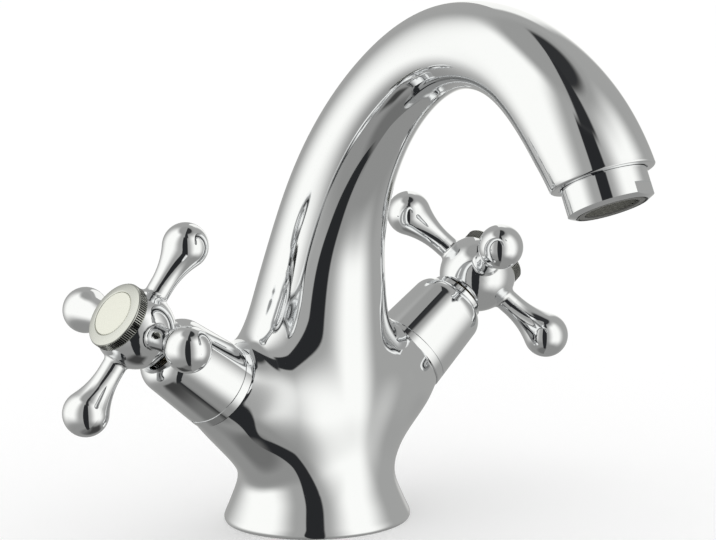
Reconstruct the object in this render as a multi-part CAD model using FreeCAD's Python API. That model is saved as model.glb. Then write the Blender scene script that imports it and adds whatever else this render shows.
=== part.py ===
"""Basin mixer tap with two cross handles on slanted valves and an arched, fixed spout.

Millimetres, +Z up. The origin is the centre of the base on the deck, and the spout points to -Y.
The hot valve is on the -X side and the cold valve on the +X side.
"""

import FreeCAD, Part
import math
import os

V = FreeCAD.Vector

# Base and column of the casting
base_radius = 26.0
base_edge_inset = 0.3
base_edge_height = 0.6
base_crown_height = 2.8
base_crown_inset = 0.55
flare_radius = 23.31
flare_height = 7.8
waist_radius = 21.5
waist_height = 12.4
belly_radius = 21.59
belly_height = 32.0
shoulder_radius = 20.4
shoulder_height = 50.0
shoulder_forward = 1.3
throat_radius = 18.4
throat_height = 64.0
throat_forward = 3.5
neck_radius = 16.15
neck_height = 78.0
neck_forward = 7.1

# Arch of the spout: how far forward of the base its middle stations lie, their heights and radii
rise_forward = 20.7
rise_height = 105.5
rise_radius = 13.15
climb_forward = 40.0
climb_height = 125.9
climb_radius = 11.7
crest_forward = 62.8
crest_height = 137.8
crest_radius = 11.4
brow_forward = 88.75
brow_height = 137.7
brow_radius = 11.85
fall_forward = 112.4
fall_height = 124.0
fall_radius = 13.65

# Mouth of the spout
outlet_reach = 127.21
outlet_height = 103.25
outlet_tilt = 25.0
lip_radius = 13.65
lip_edge_fillet = 0.6

# Valve arms of the casting
valve_axis_height = 17.85
valve_elevation = 36.76
arm_end = 39.4
arm_end_radius = 11.9
arm_flare = 9.77
arm_swell_angle = 27.12
arm_swell_depth = 3.15
arm_swell_round = 3.1
arm_root = 8.0
arm_root_round = 9.11

# Blend of an arm into the column: its reach by the side of the arm, and where it starts and is full
front_blend_reach = 15.35
upper_blend_reach = 21.7
upper_blend_start = -0.404
upper_blend_full = 0.451
lower_blend_reach = 8.17
lower_blend_start = 0.296
lower_blend_full = 0.926
least_blend_reach = 0.5
middle_blend_start = -7.69
middle_blend_full = 18.35

# Waterways and sockets in the casting
waterway_radius = 8.2
waterway_bottom = 36.0
passage_radius = 3.5
passage_height = 40.5
passage_half_length = 18.0
chamber_radius = 9.4
chamber_depth = 17.4
port_radius = 4.0
port_depth = 13.0
inlet_spacing = 22.0
inlet_radius = 4.5
inlet_depth = 12.0
inlet_way_radius = 3.8
inlet_way_top = 26.0
stud_hole_radius = 3.4
stud_hole_depth = 14.0
stud_hole_back = 12.5
gasket_edge_margin = 3.0
gasket_width = 3.5
gasket_thickness = 2.0

# Aerator in the spout's mouth
aerator_radius = 11.15
aerator_showing = 7.8
aerator_thread_radius = 10.95
aerator_thread_length = 7.4
aerator_wall = 1.65
aerator_flat_width = 20.6
aerator_flat_length = 3.6
aerator_flat_turn = 112.0
aerator_edge_width = 1.7
aerator_edge_height = 0.85
screen_recess = 0.45
screen_thickness = 0.6
screen_pitch = 1.9
screen_hole = 1.2
insert_length = 10.0
insert_rim_gap = 0.7
insert_rim_width = 1.5
insert_rim_recess = 0.05
insert_hole_radius = 1.6
insert_hole_circle = 5.6
insert_hole_count = 8
washer_thickness = 2.0
washer_bore_radius = 7.6
mouth_relief = 1.0

# Valve: seat seal, ceramic discs, bonnet and spindle
seat_seal_thickness = 2.5
seat_seal_bore_radius = 5.6
disc_radius = 8.0
fixed_disc_thickness = 3.5
moving_disc_thickness = 3.0
disc_port_inner = 2.2
disc_port_outer = 6.6
disc_port_angle = 76.0
sleeve_radius = 8.9
sleeve_bore_radius = 8.15
sleeve_overlap = 1.2
window_width = 8.0
bonnet_hex_across_flats = 17.8
bonnet_hex_height = 3.6
bonnet_shoulder_radius = 8.6
bonnet_shoulder_drop = 0.30
bonnet_neck_radius = 6.0
bonnet_top_drop = 2.5
bonnet_seal_section = 0.7
bonnet_seal_depth = 2.2
spindle_radius = 4.0
drive_plate_radius = 7.2
drive_plate_thickness = 3.4
drive_key_width = 2.8
drive_key_height = 1.1
spindle_seal_section = 0.65
spindle_seal_lead = 7.25
spindle_seal_spacing = 4.0
spline_lead = 0.5
spindle_end_gap = 0.4
spline_count = 20
spline_depth = 0.45
thrust_washer_thickness = 0.8
thrust_washer_radius = 5.8
circlip_thickness = 0.8
circlip_radius = 5.5
circlip_groove_depth = 0.6
circlip_gap_angle = 60.0

# Shroud over the valve
shroud_radius = 12.2
shroud_band_length = 2.6
shroud_band_edge = 0.3
shroud_groove_depth = 0.2
shroud_groove_width = 0.4
shroud_cone_length = 18.82
shroud_shoulder_radius = 10.86
shroud_shoulder_length = 4.5
shroud_lip_radius = 7.9
shroud_lip_length = 1.1
shroud_wall = 1.3
shroud_boss_length = 6.0

# Cross handle
hub_gap = 1.0
hub_length = 13.9
hub_back_radius = 6.9
hub_belly_rise = 9.1
hub_belly_radius = 10.8
hub_front_radius = 9.5
cross_rise = 8.36
ball_distance = 26.3
ball_radius = 6.35
arm_neck_distance = 13.5
arm_neck_radius = 3.3
arm_start_distance = 7.0
arm_root_fillet = 1.2
bush_radius = 5.6
bush_inset = 0.4
bush_depth = 7.1
web_thickness = 2.4
hub_recess_radius = 7.7
hot_handle_turn = -3.5
cold_handle_turn = -34.2

# Screw, cap ring and index disc
screw_radius = 2.0
screw_length = 12.0
screw_hole_spare = 1.0
screw_head_radius = 3.7
screw_head_height = 2.5
screw_slot_width = 1.0
screw_slot_depth = 1.2
cap_radius = 9.6
cap_height = 3.0
cap_face_rise = 0.5
cap_skirt_length = 3.0
cap_skirt_wall = 1.3
cap_rim_inset = 0.4
knurl_count = 96
knurl_depth = 0.3
index_radius = 6.5
index_thickness = 1.6
index_crown = 0.25
index_standing = 0.15

# Clearances
running_clearance = 0.05
seated_clearance = 0.03
free_clearance = 0.35
shroud_seat_gap = 0.08

# Fineness of the cast skin's patches
side_corner_angle = 48.0
arm_corner_angle = 45.0
sector_steps = 10
junction_steps = 12
arm_steps = 14
spout_steps = 36
base_steps = 12
lower_ring_height = 11.5
upper_ring_height = 61.0
level_section_height = 66.0
square_section_height = 104.0
settle_step = 0.001
settle_rounds = 10
settle_tolerance = 1e-6
spine_rounds = 12
spine_tolerance = 1e-9
plane_tolerance = 1e-4
stitch_tolerance = 0.001
waterway_sections = 24
cut_overshoot = 1.0

out_dir = "parts"
os.makedirs(out_dir, exist_ok=True)
origin = V(0, 0, 0)
up = V(0, 0, 1)


def save(node, shape):
    """Write one node and stop the build if its solids aren't sound."""
    if not shape.isValid() or not shape.Solids:
        raise ValueError("bad shape: " + node)
    shape.exportStep(out_dir + "/" + node + ".step")
    return shape


def polar(radius, degrees, z=0.0):
    """A point at a radius and an angle in a level plane."""
    angle = math.radians(degrees)
    return V(radius * math.cos(angle), radius * math.sin(angle), z)


def rod(radius, low, high):
    """A cylinder along Z between two heights."""
    return Part.makeCylinder(radius, high - low, V(0, 0, low), up)


def tube(outer, inner, low, high):
    """A ring or pipe along Z between two heights."""
    return rod(outer, low, high).cut(rod(inner, low, high))


def turned(corners):
    """A solid of revolution about Z from (radius, height) corners."""
    points = [V(radius, 0, height) for radius, height in corners]
    outline = Part.makePolygon(points + points[:1])
    return Part.Face(outline).revolve(origin, up, 360)


def turned_edges(edges):
    """A solid of revolution about Z from the edges of a closed outline in the XZ plane."""
    return Part.Face(Part.Wire(Part.sortEdges(edges)[0])).revolve(origin, up, 360)


def prism(points, height):
    """A straight solid on a polygon, drawn upwards."""
    return Part.Face(Part.makePolygon(points + points[:1])).extrude(V(0, 0, height))


def toothed_outline(outer, depth, count, z):
    """The points of a round outline with V grooves."""
    points = []
    for index in range(2 * count):
        radius = outer if index % 2 == 0 else outer - depth
        points.append(polar(radius, index * 180.0 / count, z))
    return points


def ring_seal(outer, section, height):
    """An O-ring that touches a given outer radius."""
    return Part.makeTorus(outer - section, section, V(0, 0, height), up)


# Centre line of the casting, from the base to the spout's lip
tilt = math.radians(outlet_tilt)
outlet_axis = V(0, -math.sin(tilt), -math.cos(tilt))
outlet_face = V(0, -outlet_reach, outlet_height)
lip_centre = outlet_face - outlet_axis * aerator_showing

stations = {
    "foot": V(0, 0, base_radius - base_edge_inset),
    "edge": V(0, base_edge_height, base_radius),
    "crown": V(0, base_crown_height, base_radius - base_crown_inset),
    "flare": V(0, flare_height, flare_radius),
    "waist": V(0, waist_height, waist_radius),
    "belly": V(0, belly_height, belly_radius),
    "shoulder": V(shoulder_forward, shoulder_height, shoulder_radius),
    "throat": V(throat_forward, throat_height, throat_radius),
    "neck": V(neck_forward, neck_height, neck_radius),
    "rise": V(rise_forward, rise_height, rise_radius),
    "climb": V(climb_forward, climb_height, climb_radius),
    "crest": V(crest_forward, crest_height, crest_radius),
    "brow": V(brow_forward, brow_height, brow_radius),
    "fall": V(fall_forward, fall_height, fall_radius),
    "lip": V(-lip_centre.y, lip_centre.z, lip_radius),
}
station_names = list(stations)
station_points = list(stations.values())
station_parameters = [0.0]
for before, after in zip(station_points, station_points[1:]):
    station_parameters.append(station_parameters[-1] + before.distanceToPoint(after))
spine = Part.BSplineCurve()
spine.interpolate(Points=station_points, Parameters=station_parameters)
spine_end = station_parameters[-1]


crest_index = station_names.index("crest")
crest_parameter = station_parameters[crest_index]
fall_parameter = station_parameters[station_names.index("fall")]


def spine_at_height(height):
    """The spine's parameter at a height on the column."""
    index = 0
    while index < crest_index - 1 and station_points[index + 1].y < height:
        index += 1
    low, high = station_points[index].y, station_points[index + 1].y
    first, last = station_parameters[index], station_parameters[index + 1]
    parameter = max(first + (last - first) * (height - low) / (high - low), 0.0)
    for _ in range(spine_rounds):
        place, slope = spine.getD1(parameter)
        step = (height - place.y) / slope.y
        parameter = min(max(parameter + step, 0.0), crest_parameter)
        if abs(step) < spine_tolerance:
            break
    return parameter


def eased(value, low, high):
    """0 below low, 1 above high and smooth between them."""
    share = min(max((value - low) / (high - low), 0.0), 1.0)
    return share * share * (3.0 - 2.0 * share)


def section_lean(parameter):
    """How far a section leans from level: nothing on the column, square to the spout, then to the lip."""
    place, slope = spine.getD1(parameter)
    square = math.atan2(slope.x, slope.y)
    if parameter < crest_parameter:
        return square * eased(place.y, level_section_height, square_section_height)
    return square + (math.pi - tilt - square) * eased(parameter, fall_parameter, spine_end)


def section_point(parameter, degrees, radius=None):
    """A point on the spine's round section; 0 degrees is +X and 90 is the back."""
    place = spine.value(parameter)
    lean = section_lean(parameter)
    span = place.z if radius is None else radius
    side = span * math.cos(math.radians(degrees))
    back = span * math.sin(math.radians(degrees))
    return V(side, -place.x + back * math.cos(lean), place.y + back * math.sin(lean))


# Valve axes
elevation = math.radians(valve_elevation)
valve_centre = V(0, 0, valve_axis_height)
sides = {"hot": -1.0, "cold": 1.0}
handle_turns = {"hot": hot_handle_turn, "cold": cold_handle_turn}


def valve_axis(side):
    """The outward direction of a valve."""
    return V(side * math.cos(elevation), 0, math.sin(elevation))


def valve_rise(side):
    """The direction square to a valve's axis that points up."""
    return V(-side * math.sin(elevation), 0, math.cos(elevation))


def on_valve(shape, side, turn=0.0):
    """A copy of a shape made along Z, turned about its axis and set on a valve's axis."""
    axis = valve_axis(side)
    rise = valve_rise(side)
    seat = FreeCAD.Placement(valve_centre, FreeCAD.Rotation(rise, axis.cross(rise), axis, "ZXY"))
    spin = FreeCAD.Placement(origin, FreeCAD.Rotation(up, turn))
    moved = shape.copy()
    moved.Placement = seat.multiply(spin).multiply(shape.Placement)
    return moved


# Skin of the casting: a smooth blend of the column and the two flared arms
def column_distance(point):
    """How far a point is outside the column's level section."""
    place = spine.value(spine_at_height(point.z))
    return math.hypot(point.x, point.y + place.x) - place.z


def smooth_least(first, second, reach):
    """The lesser of two distances, blended where they are closer than the reach."""
    share = max(reach - abs(first - second), 0.0) / reach
    return min(first, second) - share ** 3 * reach / 6.0


def arm_distance(point, side):
    """How far a point is outside a flared arm, and how widely the arm blends into the column there."""
    offset = point - valve_centre
    from_end = arm_end - offset.dot(valve_axis(side))
    height = offset.dot(valve_rise(side))
    flare = math.radians(arm_flare)
    half_height = arm_end_radius + from_end * math.tan(flare)
    half_depth = arm_end_radius + from_end * math.tan(math.radians(arm_swell_angle))
    half_depth = smooth_least(half_depth, arm_end_radius + arm_swell_depth, arm_swell_round)
    across = math.hypot(height, point.y * half_height / half_depth)
    outside = (across - half_height) * math.cos(flare)
    distance = -smooth_least(-outside, arm_end - from_end - arm_root, arm_root_round)
    upward = height / max(across, settle_tolerance)
    above = eased(upward, upper_blend_start, upper_blend_full)
    below = eased(-upward, lower_blend_start, lower_blend_full)
    reach = front_blend_reach
    reach += (upper_blend_reach - front_blend_reach) * above
    reach += (lower_blend_reach - front_blend_reach) * below
    reach *= eased(side * point.x, middle_blend_start, middle_blend_full)
    return distance, reach + least_blend_reach


def skin_distance(point):
    """How far a point is outside the blended casting."""
    distance = column_distance(point)
    for side in sides.values():
        outside_arm, reach = arm_distance(point, side)
        distance = smooth_least(distance, outside_arm, reach)
    return distance


def settle(point):
    """The point moved onto the blended skin along its slope."""
    for _ in range(settle_rounds):
        distance = skin_distance(point)
        if abs(distance) < settle_tolerance:
            break
        slope = V(
            skin_distance(point + V(settle_step, 0, 0)) - distance,
            skin_distance(point + V(0, settle_step, 0)) - distance,
            skin_distance(point + V(0, 0, settle_step)) - distance,
        ) * (1.0 / settle_step)
        point = point - slope * (distance / slope.dot(slope))
    return point


def skin_point(parameter, degrees):
    """A point on the casting's skin: blended by the arms on the column, plain above it."""
    point = section_point(parameter, degrees)
    if spine.value(parameter).y < level_section_height and parameter < crest_parameter:
        return settle(point)
    return point


def spread(low, high, steps):
    """Evenly spaced values from low to high."""
    return [low + (high - low) * index / steps for index in range(steps + 1)]


def even_curve(points):
    """A smooth curve through points at evenly spaced parameters, so that shared borders agree."""
    curve = Part.BSplineCurve()
    curve.interpolate(Points=points, Parameters=[float(index) for index in range(len(points))])
    return curve


def patch(rows):
    """A smooth face through a grid of points."""
    along = [even_curve(row) for row in rows]
    across = [even_curve(list(column)) for column in zip(*[curve.getPoles() for curve in along])]
    surface = Part.BSplineSurface()
    surface.buildFromPolesMultsKnots(
        [curve.getPoles() for curve in across],
        along[0].getMultiplicities(),
        across[0].getMultiplicities(),
        along[0].getKnots(),
        across[0].getKnots(),
        False,
        False,
        along[0].Degree,
        across[0].Degree,
    )
    return surface.toShape()


def cap(faces, centre, normal):
    """A flat face across the open ends of the faces that meet a plane."""
    rim = []
    for face in faces:
        for edge in face.Edges:
            middle = edge.valueAt(0.5 * (edge.FirstParameter + edge.LastParameter))
            ends = [vertex.Point for vertex in edge.Vertexes]
            if all(abs((point - centre).dot(normal)) < plane_tolerance for point in ends + [middle]):
                rim.append(edge)
    return Part.Face(Part.Wire(Part.sortEdges(rim)[0]))


def casting_skin():
    """The closed outer solid of the casting."""
    low = spine_at_height(lower_ring_height)
    high = spine_at_height(upper_ring_height)
    base_rows = spread(0.0, low, base_steps)
    junction_rows = spread(low, high, junction_steps)
    spout_rows = spread(high, spine_end, spout_steps)
    corner = side_corner_angle
    sectors = {
        "right": spread(-corner, corner, sector_steps),
        "back": spread(corner, 180.0 - corner, sector_steps),
        "left": spread(180.0 - corner, 180.0 + corner, sector_steps),
        "front": spread(180.0 + corner, 360.0 - corner, sector_steps),
    }
    faces = []
    for name, angles in sectors.items():
        faces.append(patch([[skin_point(row, angle) for angle in angles] for row in base_rows]))
        faces.append(patch([[skin_point(row, angle) for angle in angles] for row in spout_rows]))
        if name in ("front", "back"):
            faces.append(patch([[skin_point(row, angle) for angle in angles] for row in junction_rows]))
    for side in sides.values():
        faces.extend(arm_faces(side, low, high, junction_rows))
    faces.append(cap(faces, origin, up))
    faces.append(cap(faces, lip_centre, outlet_axis))
    for side in sides.values():
        end_centre = valve_centre + valve_axis(side) * arm_end
        faces.append(cap(faces, end_centre, valve_axis(side)))
    skin = Part.Compound(faces)
    skin.sewShape(stitch_tolerance)
    solid = Part.makeSolid(skin)
    lip_edges = []
    for edge in solid.Edges:
        ends = [vertex.Point for vertex in edge.Vertexes]
        if all(abs((point - lip_centre).dot(outlet_axis)) < plane_tolerance for point in ends):
            lip_edges.append(edge)
    return solid.makeFillet(lip_edge_fillet, lip_edges)


def arm_faces(side, low, high, junction_rows):
    """The four faces that lead from the column to the round end of an arm."""
    middle = 0.0 if side > 0 else 180.0
    front_corner = middle - side * side_corner_angle
    back_corner = middle + side * side_corner_angle
    across = spread(front_corner, back_corner, sector_steps)
    upper_edge = [skin_point(high, angle) for angle in across]
    lower_edge = [skin_point(low, angle) for angle in across]
    front_edge = [skin_point(row, front_corner) for row in reversed(junction_rows)]
    back_edge = [skin_point(row, back_corner) for row in reversed(junction_rows)]
    end_centre = valve_centre + valve_axis(side) * arm_end
    rise = valve_rise(side)
    corner = arm_corner_angle
    strips = [
        (upper_edge, spread(-corner, corner, sector_steps)),
        (back_edge, spread(corner, 180.0 - corner, junction_steps)),
        (lower_edge, spread(corner - 180.0, -corner - 180.0, sector_steps)),
        (front_edge, spread(-corner, corner - 180.0, junction_steps)),
    ]
    faces = []
    for edge, angles in strips:
        rows = []
        for inner, angle in zip(edge, angles):
            turn = math.radians(angle)
            outer = end_centre + (rise * math.cos(turn) + V(0, math.sin(turn), 0)) * arm_end_radius
            row = [inner]
            for share in spread(0.0, 1.0, arm_steps)[1:-1]:
                row.append(settle(inner + (outer - inner) * share))
            row.append(outer)
            rows.append(row)
        faces.append(patch(rows))
    return faces


# Waterways and sockets cut into the casting
chamber_seat = arm_end - chamber_depth
socket_radius = aerator_thread_radius + running_clearance
socket_seat = aerator_showing + aerator_thread_length + washer_thickness
aerator_bore_radius = aerator_thread_radius - aerator_wall
insert_rim_radius = aerator_bore_radius - insert_rim_gap
insert_rim_bore = insert_rim_radius - insert_rim_width
gasket_outer_radius = base_radius - gasket_edge_margin
gasket_inner_radius = gasket_outer_radius - gasket_width


def on_outlet(shape):
    """A shape made along Z from the aerator's face inwards, set on the spout's mouth."""
    inward = outlet_axis * -1.0
    turn = FreeCAD.Rotation(V(1, 0, 0), inward.cross(V(1, 0, 0)), inward, "ZXY")
    moved = shape.copy()
    moved.Placement = FreeCAD.Placement(outlet_face, turn).multiply(shape.Placement)
    return moved


def waterway():
    """The bored way from the mixing space to the seat of the aerator."""
    start = spine_at_height(waterway_bottom)
    sections = []
    for parameter in spread(start, spine_end, waterway_sections):
        place = spine.value(parameter)
        lean = section_lean(parameter)
        centre = V(0, -place.x, place.y)
        normal = V(0, -math.sin(lean), math.cos(lean))
        sections.append(Part.Wire(Part.makeCircle(waterway_radius, centre, normal)))
    return Part.makeLoft(sections, True)


def body_casting():
    """Base, column, valve arms and spout in one piece, with its waterways and threaded sockets."""
    casting = casting_skin()
    casting = casting.cut(waterway())
    casting = casting.cut(on_outlet(rod(socket_radius, aerator_showing, socket_seat)))
    mouth_radius = aerator_radius + free_clearance
    casting = casting.cut(on_outlet(rod(mouth_radius, 0.0, aerator_showing + mouth_relief)))
    passage_start = V(-passage_half_length, 0, passage_height)
    passage = Part.makeCylinder(passage_radius, 2.0 * passage_half_length, passage_start, V(1, 0, 0))
    casting = casting.cut(passage)
    for side in sides.values():
        chamber = rod(chamber_radius, chamber_seat, arm_end + cut_overshoot)
        port = rod(port_radius, chamber_seat - port_depth, chamber_seat)
        casting = casting.cut(on_valve(chamber.fuse(port), side))
        inlet = rod(inlet_radius, 0.0, inlet_depth).fuse(rod(inlet_way_radius, 0.0, inlet_way_top))
        inlet.translate(V(0.5 * side * inlet_spacing, 0, 0))
        casting = casting.cut(inlet)
    stud_hole = rod(stud_hole_radius, 0.0, stud_hole_depth)
    stud_hole.translate(V(0, stud_hole_back, 0))
    casting = casting.cut(stud_hole)
    return casting.cut(tube(gasket_outer_radius, gasket_inner_radius, 0.0, gasket_thickness))


def base_gasket():
    """Rubber ring in the groove under the base."""
    return tube(
        gasket_outer_radius - seated_clearance,
        gasket_inner_radius + seated_clearance,
        0.0,
        gasket_thickness,
    )


# Aerator, drawn along Z from its face inwards
def aerator_housing():
    """Chrome ring with two spanner flats and the thread that holds it in the spout."""
    top = aerator_showing + aerator_thread_length
    ring = turned(
        [
            (aerator_bore_radius, 0.0),
            (aerator_radius - aerator_edge_width, 0.0),
            (aerator_radius, aerator_edge_height),
            (aerator_radius, aerator_showing),
            (aerator_thread_radius, aerator_showing),
            (aerator_thread_radius, top),
            (aerator_bore_radius, top),
        ]
    )
    for turn in (0.0, 180.0):
        block = Part.makeBox(aerator_radius, 2.0 * aerator_radius, aerator_flat_length)
        block.translate(V(0.5 * aerator_flat_width, -aerator_radius, 0))
        block.rotate(origin, up, aerator_flat_turn + turn)
        ring = ring.cut(block)
    return ring


def aerator_screen():
    """Round steel screen with a grid of square holes."""
    radius = insert_rim_bore - seated_clearance
    outline = Part.Wire(Part.makeCircle(radius, V(0, 0, screen_recess)))
    holes = []
    reach = int(radius / screen_pitch)
    half = 0.5 * screen_hole
    for column in range(-reach, reach + 1):
        for row in range(-reach, reach + 1):
            x = column * screen_pitch
            y = row * screen_pitch
            if math.hypot(abs(x) + half, abs(y) + half) > radius - half:
                continue
            corners = [
                V(x - half, y - half, screen_recess),
                V(x + half, y - half, screen_recess),
                V(x + half, y + half, screen_recess),
                V(x - half, y + half, screen_recess),
            ]
            holes.append(Part.makePolygon(corners + corners[:1]))
    plate = Part.Face(outline)
    plate = plate.cut(Part.Compound([Part.Face(hole) for hole in holes]))
    return plate.extrude(V(0, 0, screen_thickness))


def aerator_insert():
    """Plastic flow core with a rim round the screen and a ring of jets round a middle one."""
    low = screen_recess + screen_thickness
    core = rod(aerator_bore_radius - seated_clearance, low, low + insert_length)
    core = core.fuse(tube(insert_rim_radius, insert_rim_bore, insert_rim_recess, low))
    for index in range(insert_hole_count):
        jet = rod(insert_hole_radius, low, low + insert_length)
        jet.translate(polar(insert_hole_circle, index * 360.0 / insert_hole_count))
        core = core.cut(jet)
    return core.cut(rod(insert_hole_radius, low, low + insert_length))


def aerator_washer():
    """Rubber washer between the housing and its seat in the spout."""
    low = aerator_showing + aerator_thread_length
    return tube(socket_radius - seated_clearance, washer_bore_radius, low, low + washer_thickness)


# Places along a valve's axis, from the valve centre outwards
shroud_low = arm_end + shroud_seat_gap
shroud_shoulder = shroud_low + shroud_cone_length
shroud_lip = shroud_shoulder + shroud_shoulder_length
shroud_top = shroud_lip + shroud_lip_length
hub_back = shroud_top + hub_gap
hub_belly = hub_back + hub_belly_rise
hub_front = hub_back + hub_length
cross_position = hub_back + cross_rise
web_back = hub_back + bush_depth
web_front = web_back + web_thickness
bonnet_shoulder_height = shroud_shoulder - bonnet_shoulder_drop
bonnet_top = shroud_top - bonnet_top_drop
seat_seal_top = chamber_seat + seat_seal_thickness
fixed_disc_top = seat_seal_top + fixed_disc_thickness
moving_disc_top = fixed_disc_top + moving_disc_thickness
drive_plate_top = moving_disc_top + drive_plate_thickness
bonnet_ceiling = drive_plate_top + free_clearance
sleeve_bottom = seat_seal_top - sleeve_overlap
bonnet_thread_radius = chamber_radius - seated_clearance
bonnet_hex_top = arm_end + bonnet_hex_height
bonnet_seal_height = arm_end - bonnet_seal_depth
spindle_bore_radius = spindle_radius + running_clearance
spindle_spline_start = hub_back - spline_lead
spindle_top = web_back - spindle_end_gap
first_spindle_seal = bonnet_ceiling + spindle_seal_lead
spindle_seal_positions = (first_spindle_seal, first_spindle_seal + spindle_seal_spacing)
circlip_bottom = bonnet_top + thrust_washer_thickness + 2.0 * running_clearance


# Valve pieces, drawn along Z at their distance from the valve centre
def disc(radius, low, thickness):
    """A ceramic disc with two opposite ports in the shape of ring sectors."""
    plate = rod(radius, low, low + thickness)
    for middle in (90.0, 270.0):
        start = middle - 0.5 * disc_port_angle
        end = middle + 0.5 * disc_port_angle
        outer = Part.Arc(*[polar(disc_port_outer, angle, low) for angle in (start, middle, end)])
        inner = Part.Arc(*[polar(disc_port_inner, angle, low) for angle in (start, middle, end)])
        first = Part.LineSegment(polar(disc_port_inner, start, low), polar(disc_port_outer, start, low))
        last = Part.LineSegment(polar(disc_port_inner, end, low), polar(disc_port_outer, end, low))
        edges = [piece.toShape() for piece in (outer, inner, first, last)]
        port = Part.Face(Part.Wire(Part.sortEdges(edges)[0])).extrude(V(0, 0, thickness))
        plate = plate.cut(port)
    return plate


def seat_seal():
    """Rubber ring that presses the fixed disc off the seat."""
    return tube(disc_radius, seat_seal_bore_radius, chamber_seat, seat_seal_top)


def fixed_disc():
    """Ceramic disc that stays in the sleeve."""
    return disc(disc_radius, seat_seal_top, fixed_disc_thickness)


def moving_disc():
    """Ceramic disc that turns with the spindle, closed at rest, with a slot for the drive key."""
    plate = disc(disc_radius - free_clearance, fixed_disc_top, moving_disc_thickness)
    plate.rotate(origin, up, 90.0)
    slot_width = drive_key_width + 2.0 * seated_clearance
    slot = Part.makeBox(2.0 * disc_radius, slot_width, drive_key_height + seated_clearance)
    slot_low = moving_disc_top - drive_key_height - seated_clearance
    slot.translate(V(-disc_radius, -0.5 * slot_width, slot_low))
    return plate.cut(slot)


def valve_bonnet():
    """Brass headwork: slotted sleeve, thread, hexagon, shoulder for the shroud and neck."""
    bonnet = turned(
        [
            (sleeve_bore_radius, sleeve_bottom),
            (sleeve_radius, sleeve_bottom),
            (sleeve_radius, bonnet_ceiling),
            (bonnet_thread_radius, bonnet_ceiling),
            (bonnet_thread_radius, arm_end),
            (bonnet_shoulder_radius, arm_end),
            (bonnet_shoulder_radius, bonnet_shoulder_height),
            (bonnet_neck_radius, bonnet_shoulder_height),
            (bonnet_neck_radius, bonnet_top),
            (spindle_bore_radius, bonnet_top),
            (spindle_bore_radius, bonnet_ceiling),
            (sleeve_bore_radius, bonnet_ceiling),
        ]
    )
    corner_radius = bonnet_hex_across_flats / math.sqrt(3.0)
    corners = [polar(corner_radius, 60.0 * index, arm_end) for index in range(6)]
    hexagon = prism(corners, bonnet_hex_height)
    bonnet = bonnet.fuse(hexagon.cut(rod(spindle_bore_radius, arm_end, bonnet_hex_top)))
    window_height = bonnet_ceiling - fixed_disc_top
    window = Part.makeBox(2.0 * bonnet_thread_radius, window_width, window_height)
    window.translate(V(-bonnet_thread_radius, -0.5 * window_width, fixed_disc_top))
    window = window.cut(rod(sleeve_bore_radius, fixed_disc_top, bonnet_ceiling))
    bonnet = bonnet.cut(window)
    groove_low = bonnet_seal_height - bonnet_seal_section
    groove_high = bonnet_seal_height + bonnet_seal_section
    groove_floor = bonnet_thread_radius - 2.0 * bonnet_seal_section
    return bonnet.cut(tube(chamber_radius, groove_floor, groove_low, groove_high))


def bonnet_seal():
    """O-ring in the bonnet's groove."""
    return ring_seal(bonnet_thread_radius, bonnet_seal_section, bonnet_seal_height)


def spindle():
    """Spindle with its drive plate and key, seal grooves, circlip groove and splined end."""
    shaft = rod(spindle_radius, drive_plate_top, spindle_spline_start)
    shaft = shaft.fuse(rod(drive_plate_radius, moving_disc_top, drive_plate_top))
    key_low = moving_disc_top - drive_key_height
    key = Part.makeBox(2.0 * drive_plate_radius, drive_key_width, drive_key_height)
    key.translate(V(-drive_plate_radius, -0.5 * drive_key_width, key_low))
    shaft = shaft.fuse(key.common(rod(drive_plate_radius, key_low, moving_disc_top)))
    splines = toothed_outline(spindle_radius, spline_depth, spline_count, spindle_spline_start)
    shaft = shaft.fuse(prism(splines, spindle_top - spindle_spline_start))
    for height in spindle_seal_positions:
        floor = spindle_radius - 2.0 * spindle_seal_section
        low = height - spindle_seal_section
        shaft = shaft.cut(tube(spindle_bore_radius, floor, low, height + spindle_seal_section))
    groove_top = circlip_bottom + circlip_thickness
    groove_floor = spindle_radius - circlip_groove_depth
    shaft = shaft.cut(tube(spindle_bore_radius, groove_floor, circlip_bottom, groove_top))
    screw_hole_low = web_front - screw_length - screw_hole_spare
    return shaft.cut(rod(screw_radius + seated_clearance, screw_hole_low, spindle_top))


def spindle_seals():
    """The two O-rings in the spindle's grooves."""
    return Part.Compound(
        [ring_seal(spindle_radius, spindle_seal_section, height) for height in spindle_seal_positions]
    )


def thrust_washer():
    """Plastic washer between the bonnet's end and the circlip."""
    low = bonnet_top + running_clearance
    return tube(thrust_washer_radius, spindle_bore_radius, low, low + thrust_washer_thickness)


def circlip():
    """Open spring ring in the spindle's groove."""
    bore = spindle_radius - circlip_groove_depth + seated_clearance
    high = circlip_bottom + circlip_thickness
    ring = tube(circlip_radius, bore, circlip_bottom, high)
    half_gap = math.radians(0.5 * circlip_gap_angle)
    reach = 2.0 * circlip_radius
    wedge = prism(
        [
            V(0, 0, circlip_bottom),
            V(reach, -reach * math.tan(half_gap), circlip_bottom),
            V(reach, reach * math.tan(half_gap), circlip_bottom),
        ],
        circlip_thickness,
    )
    return ring.cut(wedge)


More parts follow.
